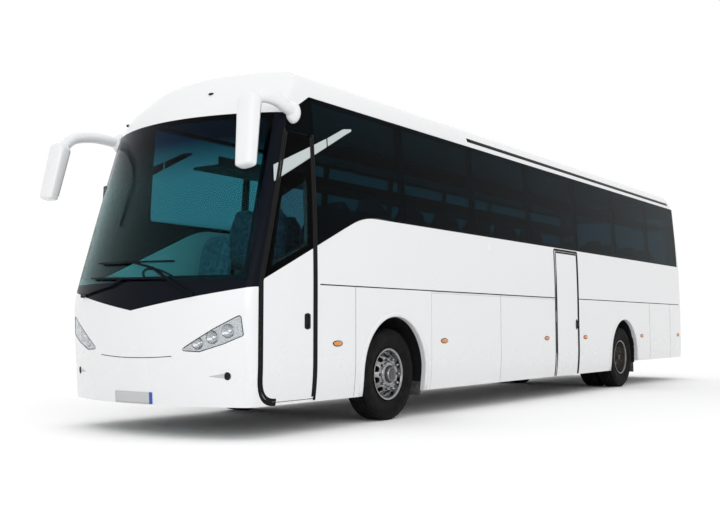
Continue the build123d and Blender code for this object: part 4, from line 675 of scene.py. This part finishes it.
# Wheels: places across, and each piece's name with the name of the node that it stands for
wheels = {
    "front": {
        "y": body["axleF"], "x": (1.05,), "finish": "polishedRim", "rider": "front_wheel_",
        "tyre": ("frontTyre_", "front_tyre_"), "rim": ("frontRim_", "front_rim_"),
    },
    "rear": {
        "y": body["axleR"], "x": (1.072, 0.742), "finish": "rustyRim", "rider": "rear_wheels_",
        "tyre": ("rearTyres_", "rear_tyres_"), "rim": ("rearRims_", "rear_rims_"),
    },
}
for form, wheel in wheels.items():
    for side, word in sides.items():
        rider = wheel["rider"] + word
        centres = [(side * x, wheel["y"], body["hubZ"]) for x in wheel["x"]]
        carcasses = [turnedGrid(tyreProfile(), centre, side, 256, treadDent) for centre in centres]
        piece = gridObject(wheel["tyre"][0] + word, carcasses, "tyreRubber", rider, closeU=True)
        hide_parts(wheel["tyre"][1] + word)
        piece = rimPiece(wheel["rim"][0] + word, form, centres, side, wheel["finish"], rider)
        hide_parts(wheel["rim"][1] + word)
print("wheels made")

# Mirrors: knob on the pillar, thick bent arm, hanging head with its glass facing back
mirror = {
    "arm": 0.058, "knob": (0.078, 0.095, 0.115), "wide": 0.116, "deep": 0.08, "taper": 0.15, "power": 3.2,
    "round": (0.12, 0.035), "ends": (0.93, 0.6), "glassHalf": 0.09, "glassAlong": (0.13, 0.94), "bulge": 0.006,
}
mirrorPlaces = {
    "near": {
        "side": 1, "top": (1.215, -6.22, 3.205), "low": (1.30, -6.357, 2.49),
        "arm": (
            (1.21, -5.594, 3.144), (1.25, -5.75, 3.165), (1.26, -5.90, 3.20), (1.25, -6.08, 3.20),
            (1.22, -6.20, 3.15),
        ),
    },
    "far": {
        "side": -1, "top": (1.30, -6.42, 2.985), "low": (1.34, -6.54, 2.37),
        "arm": (
            (1.18, -5.72, 3.07), (1.235, -5.90, 3.10), (1.27, -6.08, 3.10), (1.29, -6.28, 3.05),
            (1.30, -6.41, 2.93),
        ),
    },
}


# Share of a head's full girth along it: an arc at the top and a tighter one at the bottom, on a straight taper
def headGirth(t):
    girth = 1 - mirror["taper"] * t
    for away, reach, share in zip((t, 1 - t), mirror["round"], mirror["ends"]):
        girth = girth * np.sqrt(np.clip(1 - share * (1 - np.clip(away / reach, 0, 1)) ** 2, 0, 1))
    return girth


for word, place in mirrorPlaces.items():
    flip = np.array([place["side"], 1.0, 1.0])
    top, low = np.array(place["top"]), np.array(place["low"])
    armGrid = tube(smoothPath(place["arm"], 8) * flip, mirror["arm"], mirror["arm"], 24)
    t = np.concatenate([np.linspace(0, 0.12, 9)[:-1], np.linspace(0.12, 0.95, 13)[:-1], np.linspace(0.95, 1, 7)])
    spine = (top + (low - top) * t[:, None]) * flip
    girth = headGirth(t)
    headGrid = tube(spine, mirror["wide"] * girth, mirror["deep"] * girth, 32, (0, 1, 0), mirror["power"])
    # knob: a ball drawn out upright
    u, v = crossed(np.linspace(0, math.pi, 14), fullTurn(24))
    ball = np.stack([np.sin(u) * np.cos(v), np.sin(u) * np.sin(v), np.cos(u)], -1)
    knobGrid = (np.array(place["arm"][0]) + ball * mirror["knob"]) * flip
    # glass: a pillowed oblong on the head's rear face
    u, v = crossed(np.linspace(-1, 1, 13), np.linspace(*mirror["glassAlong"], 21))
    shrink = 1 - mirror["taper"] * v
    bulge = mirror["bulge"] * np.clip(1.02 - np.abs(u) ** 6, 0, 1)
    face = np.stack([u * mirror["glassHalf"] * shrink, mirror["deep"] * shrink * 0.95 + bulge, 0 * u], -1)
    glassGrid = (top + (low - top) * v[..., None] + face) * flip
    for part, grid in (("Arm", armGrid), ("Head", headGrid), ("Knob", knobGrid)):
        gridObject("mirror" + part + "_" + word, [grid], "mirrorShell", "body", closeV=True)
    if word == "near":
        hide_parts("mirrors")
    gridObject("mirrorGlass_" + word, [glassGrid], "mirrorGlass", "body")
print("mirrors made")

# Black seal bands round the doors, half on the wall and half on the leaf
door = {
    "rearY": -5.30, "frontY": -6.10, "lowZ": 0.335, "topZ": 2.95, "kinkZ": 1.46, "slope": 0.27,
    "toe": 0.23, "tip": 0.01,
}
middleDoor = {"frontY": 0.43, "rearY": 1.268, "lowZ": 0.308, "topZ": 2.166, "corner": 0.02}


# Two runs: down the rear edge, and from the toe's curve up the front edge
def doorRuns(grow):
    rear, front, low, top = door["rearY"] + grow, door["frontY"] - grow, door["lowZ"] - grow, door["topZ"] + grow
    kinkZ, slope, toe, tip = pick(door, "kinkZ slope toe tip")
    radius = toe + grow
    curve = roundedRun([(front + radius + tip, low), (front, low), (front, kinkZ)], radius)
    lean = runOf([(front, kinkZ), (front + (top - kinkZ) * slope, top)])
    return runOf([(rear, top), (rear, low)]), np.concatenate([curve, lean[1:]], 0)


# One run round three edges; the hinge's edge keeps a distance of its own
def middleRuns(grow, hingeGrow):
    front, rear, low, top, corner = pick(middleDoor, "frontY rearY lowZ topZ corner")
    front, rear, top = front - hingeGrow, rear + grow, top + grow
    return (roundedRun([(front, low), (front, top), (rear, top), (rear, low)], corner + max(grow, 0)),)


sealLift = 0.0025
seals = {
    "doorSealLeaf": (doorRuns(-0.0155), 0.030, "front_door"), "doorSealWall": (doorRuns(0.020), 0.038, "body"),
    "middleSealLeaf": (middleRuns(-0.024, -0.041), 0.024, "middle_door"),
    "middleSealWall": (middleRuns(0.014, 0.014), 0.026, "body"),
}
for name, (runs, wide, rider) in seals.items():
    piece = gridObject(name, [ribbon(onLeft, run, wide, sealLift) for run in runs], "sealRubber", rider)

# Belt line, panel seams and roof slots: the belt's spans on each side, and each seam's lower end by its place; the
# roof slot is a black band of painted shade under the roof's side fairing
lines = {
    "belt": {1: ((-5.22, 0.395), (1.30, 6.27)), -1: ((-6.0, 6.27),)},
    "beltZ": 1.4575, "beltWide": 0.012, "beltLift": 0.0015,
    "seams": {-4.617: 0.31, 4.55: 0.44, 5.72: 0.44}, "seamWide": 0.005, "seamLift": 0.0008,
    "slotShade": ((-2.01, 3.447), (6.05, 3.435)), "slotShadeWide": 0.05, "slotShadeLift": 0.004,
}
for side, word in sides.items():
    grids = []
    for span in lines["belt"][side]:
        run = runOf([(y, lines["beltZ"]) for y in span], 0.2)
        grids.append(ribbon(skins[side], run, lines["beltWide"], lines["beltLift"]))
    for y, z in lines["seams"].items():
        run = runOf([(y, z), (y, lines["beltZ"])])
        grids.append(ribbon(skins[side], run, lines["seamWide"], lines["seamLift"]))
    gridObject("beltLine_" + word, grids, "darkGap", "body")
    # roof slot: a black ribbon that stands in for the painted shade under the roof's side fairing
    slotShade = ribbon(skins[side], runOf(lines["slotShade"], 0.1), lines["slotShadeWide"], lines["slotShadeLift"])
    gridObject("roofSlotShade_" + word, [slotShade], "maskBlack", "body")

# Wheel arch lips: a rounded lip carried round each opening, its feet in front of and behind each axle
arch = {
    "radius": 0.645, "z": 0.53, "wide": 0.055, "lift": 0.012,
    "feet": {body["axleF"]: (0.305, 0.305), body["axleR"]: (0.305, 0.436)},
}
for side, word in sides.items():
    grids = []
    for axle, (frontZ, rearZ) in arch["feet"].items():
        sweep = np.linspace(0, math.pi, 49)
        ring = np.stack([axle - arch["radius"] * np.cos(sweep), arch["z"] + arch["radius"] * np.sin(sweep)], -1)
        legs = [(axle - arch["radius"], frontZ), *ring, (axle + arch["radius"], rearZ)]
        grids.append(ribbon(skins[side], runOf(legs, 0.06), arch["wide"], arch["lift"]))
    lip = gridObject("archLips_" + word, grids, "whitePaint", "body")

# Side marker lamps: amber oval dome on a dark base, riding on whatever panel carries it
marker = {
    "y": (-4.929, -2.803, 0.106, 1.533, 4.124, 6.2), "z": 0.865,
    "base": {"size": (0.08496, 0.0312), "height": 0.003, "rim": 0.002},
    "lens": {"size": (0.072, 0.024), "height": 0.012, "rim": 0.003},
}
markerRiders = {
    1: ("body", "flap_left_front", "flap_left_rear", "body", "body", "body"),
    -1: ("body", "flap_right_front", "flap_right_rear", "flap_right_rear", "body", "body"),
}
for side, riders in markerRiders.items():
    for index, (y, rider) in enumerate(zip(marker["y"], riders)):
        place, word = (y, marker["z"]), sides[side] + str(index)
        domePiece("markerBase_" + word, "plasticDark", rider, skins[side], place, marker["base"])
        domePiece("markerLens_" + word, "amberLens", rider, skins[side], place, marker["lens"])

# Door handles: dark oval recess with a standing grip; place in Y and Z, half height and half width
handles = {
    "frontHandle": (-5.42, 1.09, 0.068, 0.046, "front_door"),
    "middleHandle": (1.19, 1.065, 0.065, 0.028, "middle_door"),
}
handleForm = {"border": 0.012, "lift": 0.003, "grip": (0.008, 0.006), "share": 0.9, "foot": 0.006, "stand": 0.012}


# The left skin with its parameters swapped, for a patch that runs upright
def onLeftUpright(z, y, lift):
    return onLeft(y, z, lift)


border, cupLift, share, foot, stand = pick(handleForm, "border lift share foot stand")
for word, (y, z, high, wide, rider) in handles.items():
    v = np.linspace(-1, 1, 17)
    reach = wide * np.clip(1 - v**12, 0.02, 1) ** 0.5
    upright = z + (high + border) * v
    patchPiece(word + "Cup", "plasticDark", rider, onLeftUpright, upright, y - reach, y + reach, cupLift)
    t = np.linspace(-1, 1, 15)
    grip = np.stack([sideX(z + 0 * t) + foot + stand * (1 - t**4), y + 0 * t, z + high * share * t], -1)
    gridObject(word + "Grip", [tube(grip, *handleForm["grip"], 12, (1, 0, 0))], "maskBlack", rider, closeV=True)

# Pale stripe that runs over the dark panes from the front door to the first window; riders left and right
stripe = {
    "y": (-5.905, -5.60, -5.284, -5.00, -4.745, -4.556),
    "low": (2.415, 2.58, 2.752, 2.905, 3.045, 3.143),
    "high": (2.575, 2.715, 2.858, 2.99, 3.118, 3.149), "lift": 0.0015,
}
stripeSpans = {
    "door": (-5.90, -5.318, ("front_door", "body")), "mid": (-5.276, -5.05, ("body", "body")),
    "tip": (-5.03, -4.60, ("body", "body")),
}
for word, (start, stop, riders) in stripeSpans.items():
    y = np.linspace(start, stop, 24)
    low, high = np.interp(y, stripe["y"], stripe["low"]), np.interp(y, stripe["y"], stripe["high"])
    for skin, letter, rider in zip((onLeft, onRight), "LR", riders):
        patchPiece("stripe_" + word + letter, "paleStripe", rider, skin, y, low, high, stripe["lift"])
print("side trim made")

# Headlamps: reflector dish, bulb and ring in each bowl, dark outline round the cover; fog lamp and its scoop
headlamp = {
    "outline": ((0.590, 0.815), (0.927, 1.012), (1.185, 1.148), (1.203, 0.958), (1.021, 0.878), (0.794, 0.806)),
    "corner": 0.022, "wide": 0.007, "lift": 0.0015,
    "bowls": ((0.775, 0.884, 0.052), (0.919, 0.940, 0.056), (1.066, 0.998, 0.058)), "inset": 0.0055, "deep": 0.026,
    "bulbShare": 0.3, "bulbFoot": -0.03, "bulbHigh": 0.018,
    "ringShare": 1.02, "ring": (0.005, 0.0045), "ringFoot": -0.011,
}
fogLamp = {
    "x": 1.05, "z": 0.586, "size": (0.026, 0.037), "height": 0.008, "rim": 0.002,
    "scoopX": (0.884, 1.035), "scoopLow": (0.577, -0.08), "scoopHigh": (0.583, 0.2), "scoopLift": 0.0008,
}
for side, word in sides.items():
    corners = [(side * x, z) for x, z in headlamp["outline"]]
    run = roundedRun(corners, headlamp["corner"], 0.03, closed=True)[:-1]
    trim = ribbon(onNose, run, headlamp["wide"], headlamp["lift"], closed=True)
    gridObject("lampOutline_" + word, [trim], "darkGap", "body")
    dishes, bulbs, rings = [], [], []
    for x, z, r in headlamp["bowls"]:
        rr, aa = crossed(np.linspace(0, 1, 10), fullTurn(32))
        across, up = r * rr * np.cos(aa), r * rr * np.sin(aa)
        dishes.append(onNose(side * x + across, z + up, -headlamp["inset"] - headlamp["deep"] * (1 - rr**2)))
        share, foot, high = pick(headlamp, "bulbShare bulbFoot bulbHigh")
        swell = foot + high * np.sqrt(1 - np.clip(rr, 0, 0.999) ** 2)
        bulbs.append(onNose(side * x + share * across, z + share * up, swell))
        tt, pp = crossed(fullTurn(40), fullTurn(8))
        ringR = r * headlamp["ringShare"] + headlamp["ring"][0] * np.cos(pp)
        ringLift = headlamp["ringFoot"] + headlamp["ring"][1] * np.sin(pp)
        rings.append(onNose(side * x + ringR * np.cos(tt), z + ringR * np.sin(tt), ringLift))
    gridObject("lampDishes_" + word, dishes, "dishGrey", "body", closeV=True)
    gridObject("lampBulbs_" + word, bulbs, "chrome", "body", closeV=True)
    gridObject("lampRings_" + word, rings, "plasticDark", "body", closeU=True, closeV=True)
    domePiece("fogLamp_" + word, "plasticDark", "body", onNose, (side * fogLamp["x"], fogLamp["z"]), fogLamp)
    u = np.linspace(*fogLamp["scoopX"], 16)
    low, high = (z + slope * (u - u[0]) for z, slope in (fogLamp["scoopLow"], fogLamp["scoopHigh"]))
    patchPiece("fogScoop_" + word, "plateGrey", "body", onNose, side * u, low, high, fogLamp["scoopLift"])

# Front panel seam, blank plate and its coloured end
frontTrim = {
    "seamZ": 0.741, "seamRise": 0.02, "seamHalf": 0.5, "seamWide": 0.007, "seamLift": 0.001,
    "plateHalf": 0.26, "plateZ": (0.308, 0.418), "plateLift": 0.006, "blueWide": 0.035, "blueLift": 0.0062,
}
half, seamZ, rise = pick(frontTrim, "seamHalf seamZ seamRise")
x = np.linspace(-half, half, 41)
seam = np.stack([x, seamZ + rise * (x / half) ** 2], -1)
gridObject("bonnetSeam", [ribbon(onNose, seam, frontTrim["seamWide"], frontTrim["seamLift"])], "darkGap", "body")
half, plateZ, blueWide = pick(frontTrim, "plateHalf plateZ blueWide")
x = np.linspace(-half, half - blueWide, 17)
patchPiece("frontPlate", "plateGrey", "body", onNose, x, *plateZ, frontTrim["plateLift"])
x = np.linspace(half - blueWide, half, 5)
patchPiece("frontPlateEnd", "plateBlue", "body", onNose, x, *plateZ, frontTrim["blueLift"])

# Small marker lamps on the roof cap
capLamps = {"places": ((-0.955, 3.24), (0.41, 3.378)), "size": (0.028, 0.014), "height": 0.02, "rim": 0.002}
for index, place in enumerate(capLamps["places"]):
    domePiece("capLamp_" + str(index), "plasticDark", "body", onNose, place, capLamps)

# Tail: lamp domes, hoods over the louvres of the engine lid, and a blank plate
tailTrim = {
    "lampX": 1.085, "lampForm": {"size": (0.055, 0.055), "height": 0.012, "rim": 0.002},
    "lamps": {"turn": (0.93, "amberLens"), "stop": (1.13, "redLens"), "tail": (1.31, "redLens")},
    "louvreZ": (0.74, 1.082), "louvres": 7, "louvreX": (0.055, 0.825), "hoodWide": 0.016, "hoodLift": 0.011,
    "plateHalf": 0.26, "plateZ": (1.16, 1.27), "plateLift": 0.006,
}
for side, word in sides.items():
    for tag, (z, finish) in tailTrim["lamps"].items():
        place = (side * tailTrim["lampX"], z)
        domePiece("tail_" + tag + "_" + word, finish, "body", onTail, place, tailTrim["lampForm"])
hoods = []
for z in np.linspace(*tailTrim["louvreZ"], tailTrim["louvres"]):
    for side in (-1, 1):
        run = runOf([(side * x, z) for x in tailTrim["louvreX"]], 0.1)
        hoods.append(ribbon(onTail, run, tailTrim["hoodWide"], tailTrim["hoodLift"]))
gridObject("louvreHoods", hoods, "whitePaint", "engine_lid")
x = np.linspace(-tailTrim["plateHalf"], tailTrim["plateHalf"], 15)
patchPiece("rearPlate", "plateGrey", "engine_lid", onTail, x, *tailTrim["plateZ"], tailTrim["plateLift"])
print("end trim made")

# Seats: crowned cushion, raked back and headrest for each place, in banks of two; the back stands behind by Y
seatRows = {"rows": 12, "firstY": -4.27, "pitch": 0.83, "bank": 0.72, "half": 0.2325, "reach": 0.44, "legX": 0.2}
seatForm = {
    "cushion": (0.455, 0.44, 0.14), "cushionZ": 1.802, "crown": 0.02, "power": 3.4,
    "backs": (((0.455, 0.115, 0.70), 0.272, 2.09, 0.10), ((0.28, 0.11, 0.17), 0.325, 2.40, 0.03)),
    "legZ": (1.401, 1.50, 1.70, 1.735), "legSize": (0.03, 0.14), "legTurns": 12,
}
driverSeat = {
    "x": -0.62, "y": -5.09, "cushion": (0.48, 0.44, 0.14), "cushionZ": 1.402,
    "backs": (((0.47, 0.12, 0.72), 0.27, 1.72, 0.09),),
    "legZ": (1.001, 1.1, 1.25, 1.335), "legSize": (0.13, 0.13), "legTurns": 16,
}
cushions, backs, legs = [], [], []


# Rounded oblong: a ball stretched by a power, crowned on top, then leaned in Y by its height
def pad(centre, size, lean=0.0, crown=0.0):
    def squarer(w):
        return np.sign(w) * np.abs(w) ** (2 / seatForm["power"])

    u, v = crossed(np.linspace(-math.pi / 2, math.pi / 2, 13), fullTurn(24))
    x, y, z = squarer(np.cos(u)) * squarer(np.cos(v)), squarer(np.cos(u)) * squarer(np.sin(v)), squarer(np.sin(u))
    grid = np.stack([x, y, z], -1) * np.array(size) / 2
    grid[..., 2] += crown * (1 - x**2) * (1 - y**2) * (z > 0)
    grid[..., 1] += lean * (grid[..., 2] / size[2] + 0.5)
    return grid + np.asarray(centre)


# Back and headrest are given by size, place behind the cushion, height and lean
def addSeat(x, y, form):
    cushions.append(pad((x, y, form["cushionZ"]), form["cushion"], 0.0, seatForm["crown"]))
    for size, behind, z, lean in form["backs"]:
        backs.append(pad((x, y + behind, z), size, lean))


def addLeg(x, y, form):
    legs.append(tube([(x, y, z) for z in form["legZ"]], *form["legSize"], form["legTurns"], (0, 1, 0)))


# No seats on the door side beside the middle door
for y in seatRows["firstY"] + seatRows["pitch"] * np.arange(seatRows["rows"]):
    atDoor = y + seatRows["reach"] > middleDoor["frontY"] and y - seatRows["reach"] < middleDoor["rearY"]
    for bank in (-seatRows["bank"],) if atDoor else (-seatRows["bank"], seatRows["bank"]):
        for way in (-1, 1):
            addSeat(bank + way * seatRows["half"], y, seatForm)
            addLeg(bank + way * seatRows["legX"], y, seatForm)
addSeat(driverSeat["x"], driverSeat["y"], driverSeat)
addLeg(driverSeat["x"], driverSeat["y"], driverSeat)
cushionPiece = gridObject("seatCushions", cushions, "seatCloth", "body", closeV=True)
backPiece = gridObject("seatBacks", backs, "seatCloth", "body", closeV=True)
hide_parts("seats")
gridObject("seatLegs", legs, "frameSteel", "body", closeV=True)
print("seats made")

# Pale floor, soft white surround and studio lamps
studio = {"horizon": 0.60, "zenith": 1.10, "floor": 0.90, "floorSeen": 1.08, "floorHalf": 60.0}
lamps = {
    "keyLamp": {"place": (11.0, -16.0, 6.0), "target": (0.0, -3.0, 1.8), "size": (14.0, 8.0), "power": 540.0},
    "fillLamp": {"place": (-14.0, 6.0, 8.0), "target": (0.0, 2.0, 1.8), "size": (14.0, 8.0), "power": 100.0},
}
far = studio["floorHalf"]
floorMesh = bpy.data.meshes.new("floor")
floorMesh.from_pydata([(-far, -far, 0), (far, -far, 0), (far, far, 0), (-far, far, 0)], [], [(0, 1, 2, 3)])
floor = bpy.data.objects.new("floor", floorMesh)
bpy.context.scene.collection.objects.link(floor)
floor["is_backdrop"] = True


# Share of rays that look at the surround: seen, mirrored or through glass
def lookingRay(tree):
    rays = addNode(tree, "ShaderNodeLightPath").outputs
    seen = mathNode(tree, "MAXIMUM", rays["Is Camera Ray"], rays["Is Glossy Ray"])
    return mathNode(tree, "MAXIMUM", seen, rays["Is Transmission Ray"])


def chosenShader(tree, lit, seen):
    return addNode(tree, "ShaderNodeMixShader", {"Fac": lookingRay(tree), 1: lit, 2: seen}).outputs[0]


# The floor lights the coach as a pale floor does, and looks white where no shadow falls
floorFinish = bpy.data.materials.new("floorFinish")
floorFinish.use_nodes = True
floorMesh.materials.append(floorFinish)
tree = floorFinish.node_tree
tree.nodes.clear()
shades = []
for value in (studio["floor"], studio["floorSeen"]):
    shades.append(addNode(tree, "ShaderNodeBsdfDiffuse", {"Color": (value, value, value, 1.0)}).outputs[0])
addNode(tree, "ShaderNodeOutputMaterial", {"Surface": chosenShader(tree, *shades)})

# The sky's light grows from the horizon to the zenith, and looks plain white
world = bpy.data.worlds.new("studio")
bpy.context.scene.world = world
world.use_nodes = True
tree = world.node_tree
tree.nodes.clear()
white = (1.0, 1.0, 1.0, 1.0)
direction = addNode(tree, "ShaderNodeTexCoord").outputs["Generated"]
upward = addNode(tree, "ShaderNodeSeparateXYZ", {"Vector": direction}).outputs["Z"]
growth = ranged(tree, upward, studio["horizon"], studio["zenith"], 0.0, 1.0)
lit = addNode(tree, "ShaderNodeBackground", {"Color": white, "Strength": growth}).outputs[0]
seen = addNode(tree, "ShaderNodeBackground", {"Color": white, "Strength": 1.0}).outputs[0]
addNode(tree, "ShaderNodeOutputWorld", {"Surface": chosenShader(tree, lit, seen)})

for name, look in lamps.items():
    lampData = bpy.data.lights.new(name, "AREA")
    lampData.shape = "RECTANGLE"
    lampData.size, lampData.size_y = look["size"]
    lampData.energy = look["power"]
    lamp = bpy.data.objects.new(name, lampData)
    aim = np.array(look["target"]) - np.array(look["place"])
    lamp.location = look["place"]
    lamp.rotation_euler = (math.atan2(math.hypot(aim[0], aim[1]), -aim[2]), 0, math.atan2(-aim[0], aim[1]))
    bpy.context.scene.collection.objects.link(lamp)
print("studio made")

low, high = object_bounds()
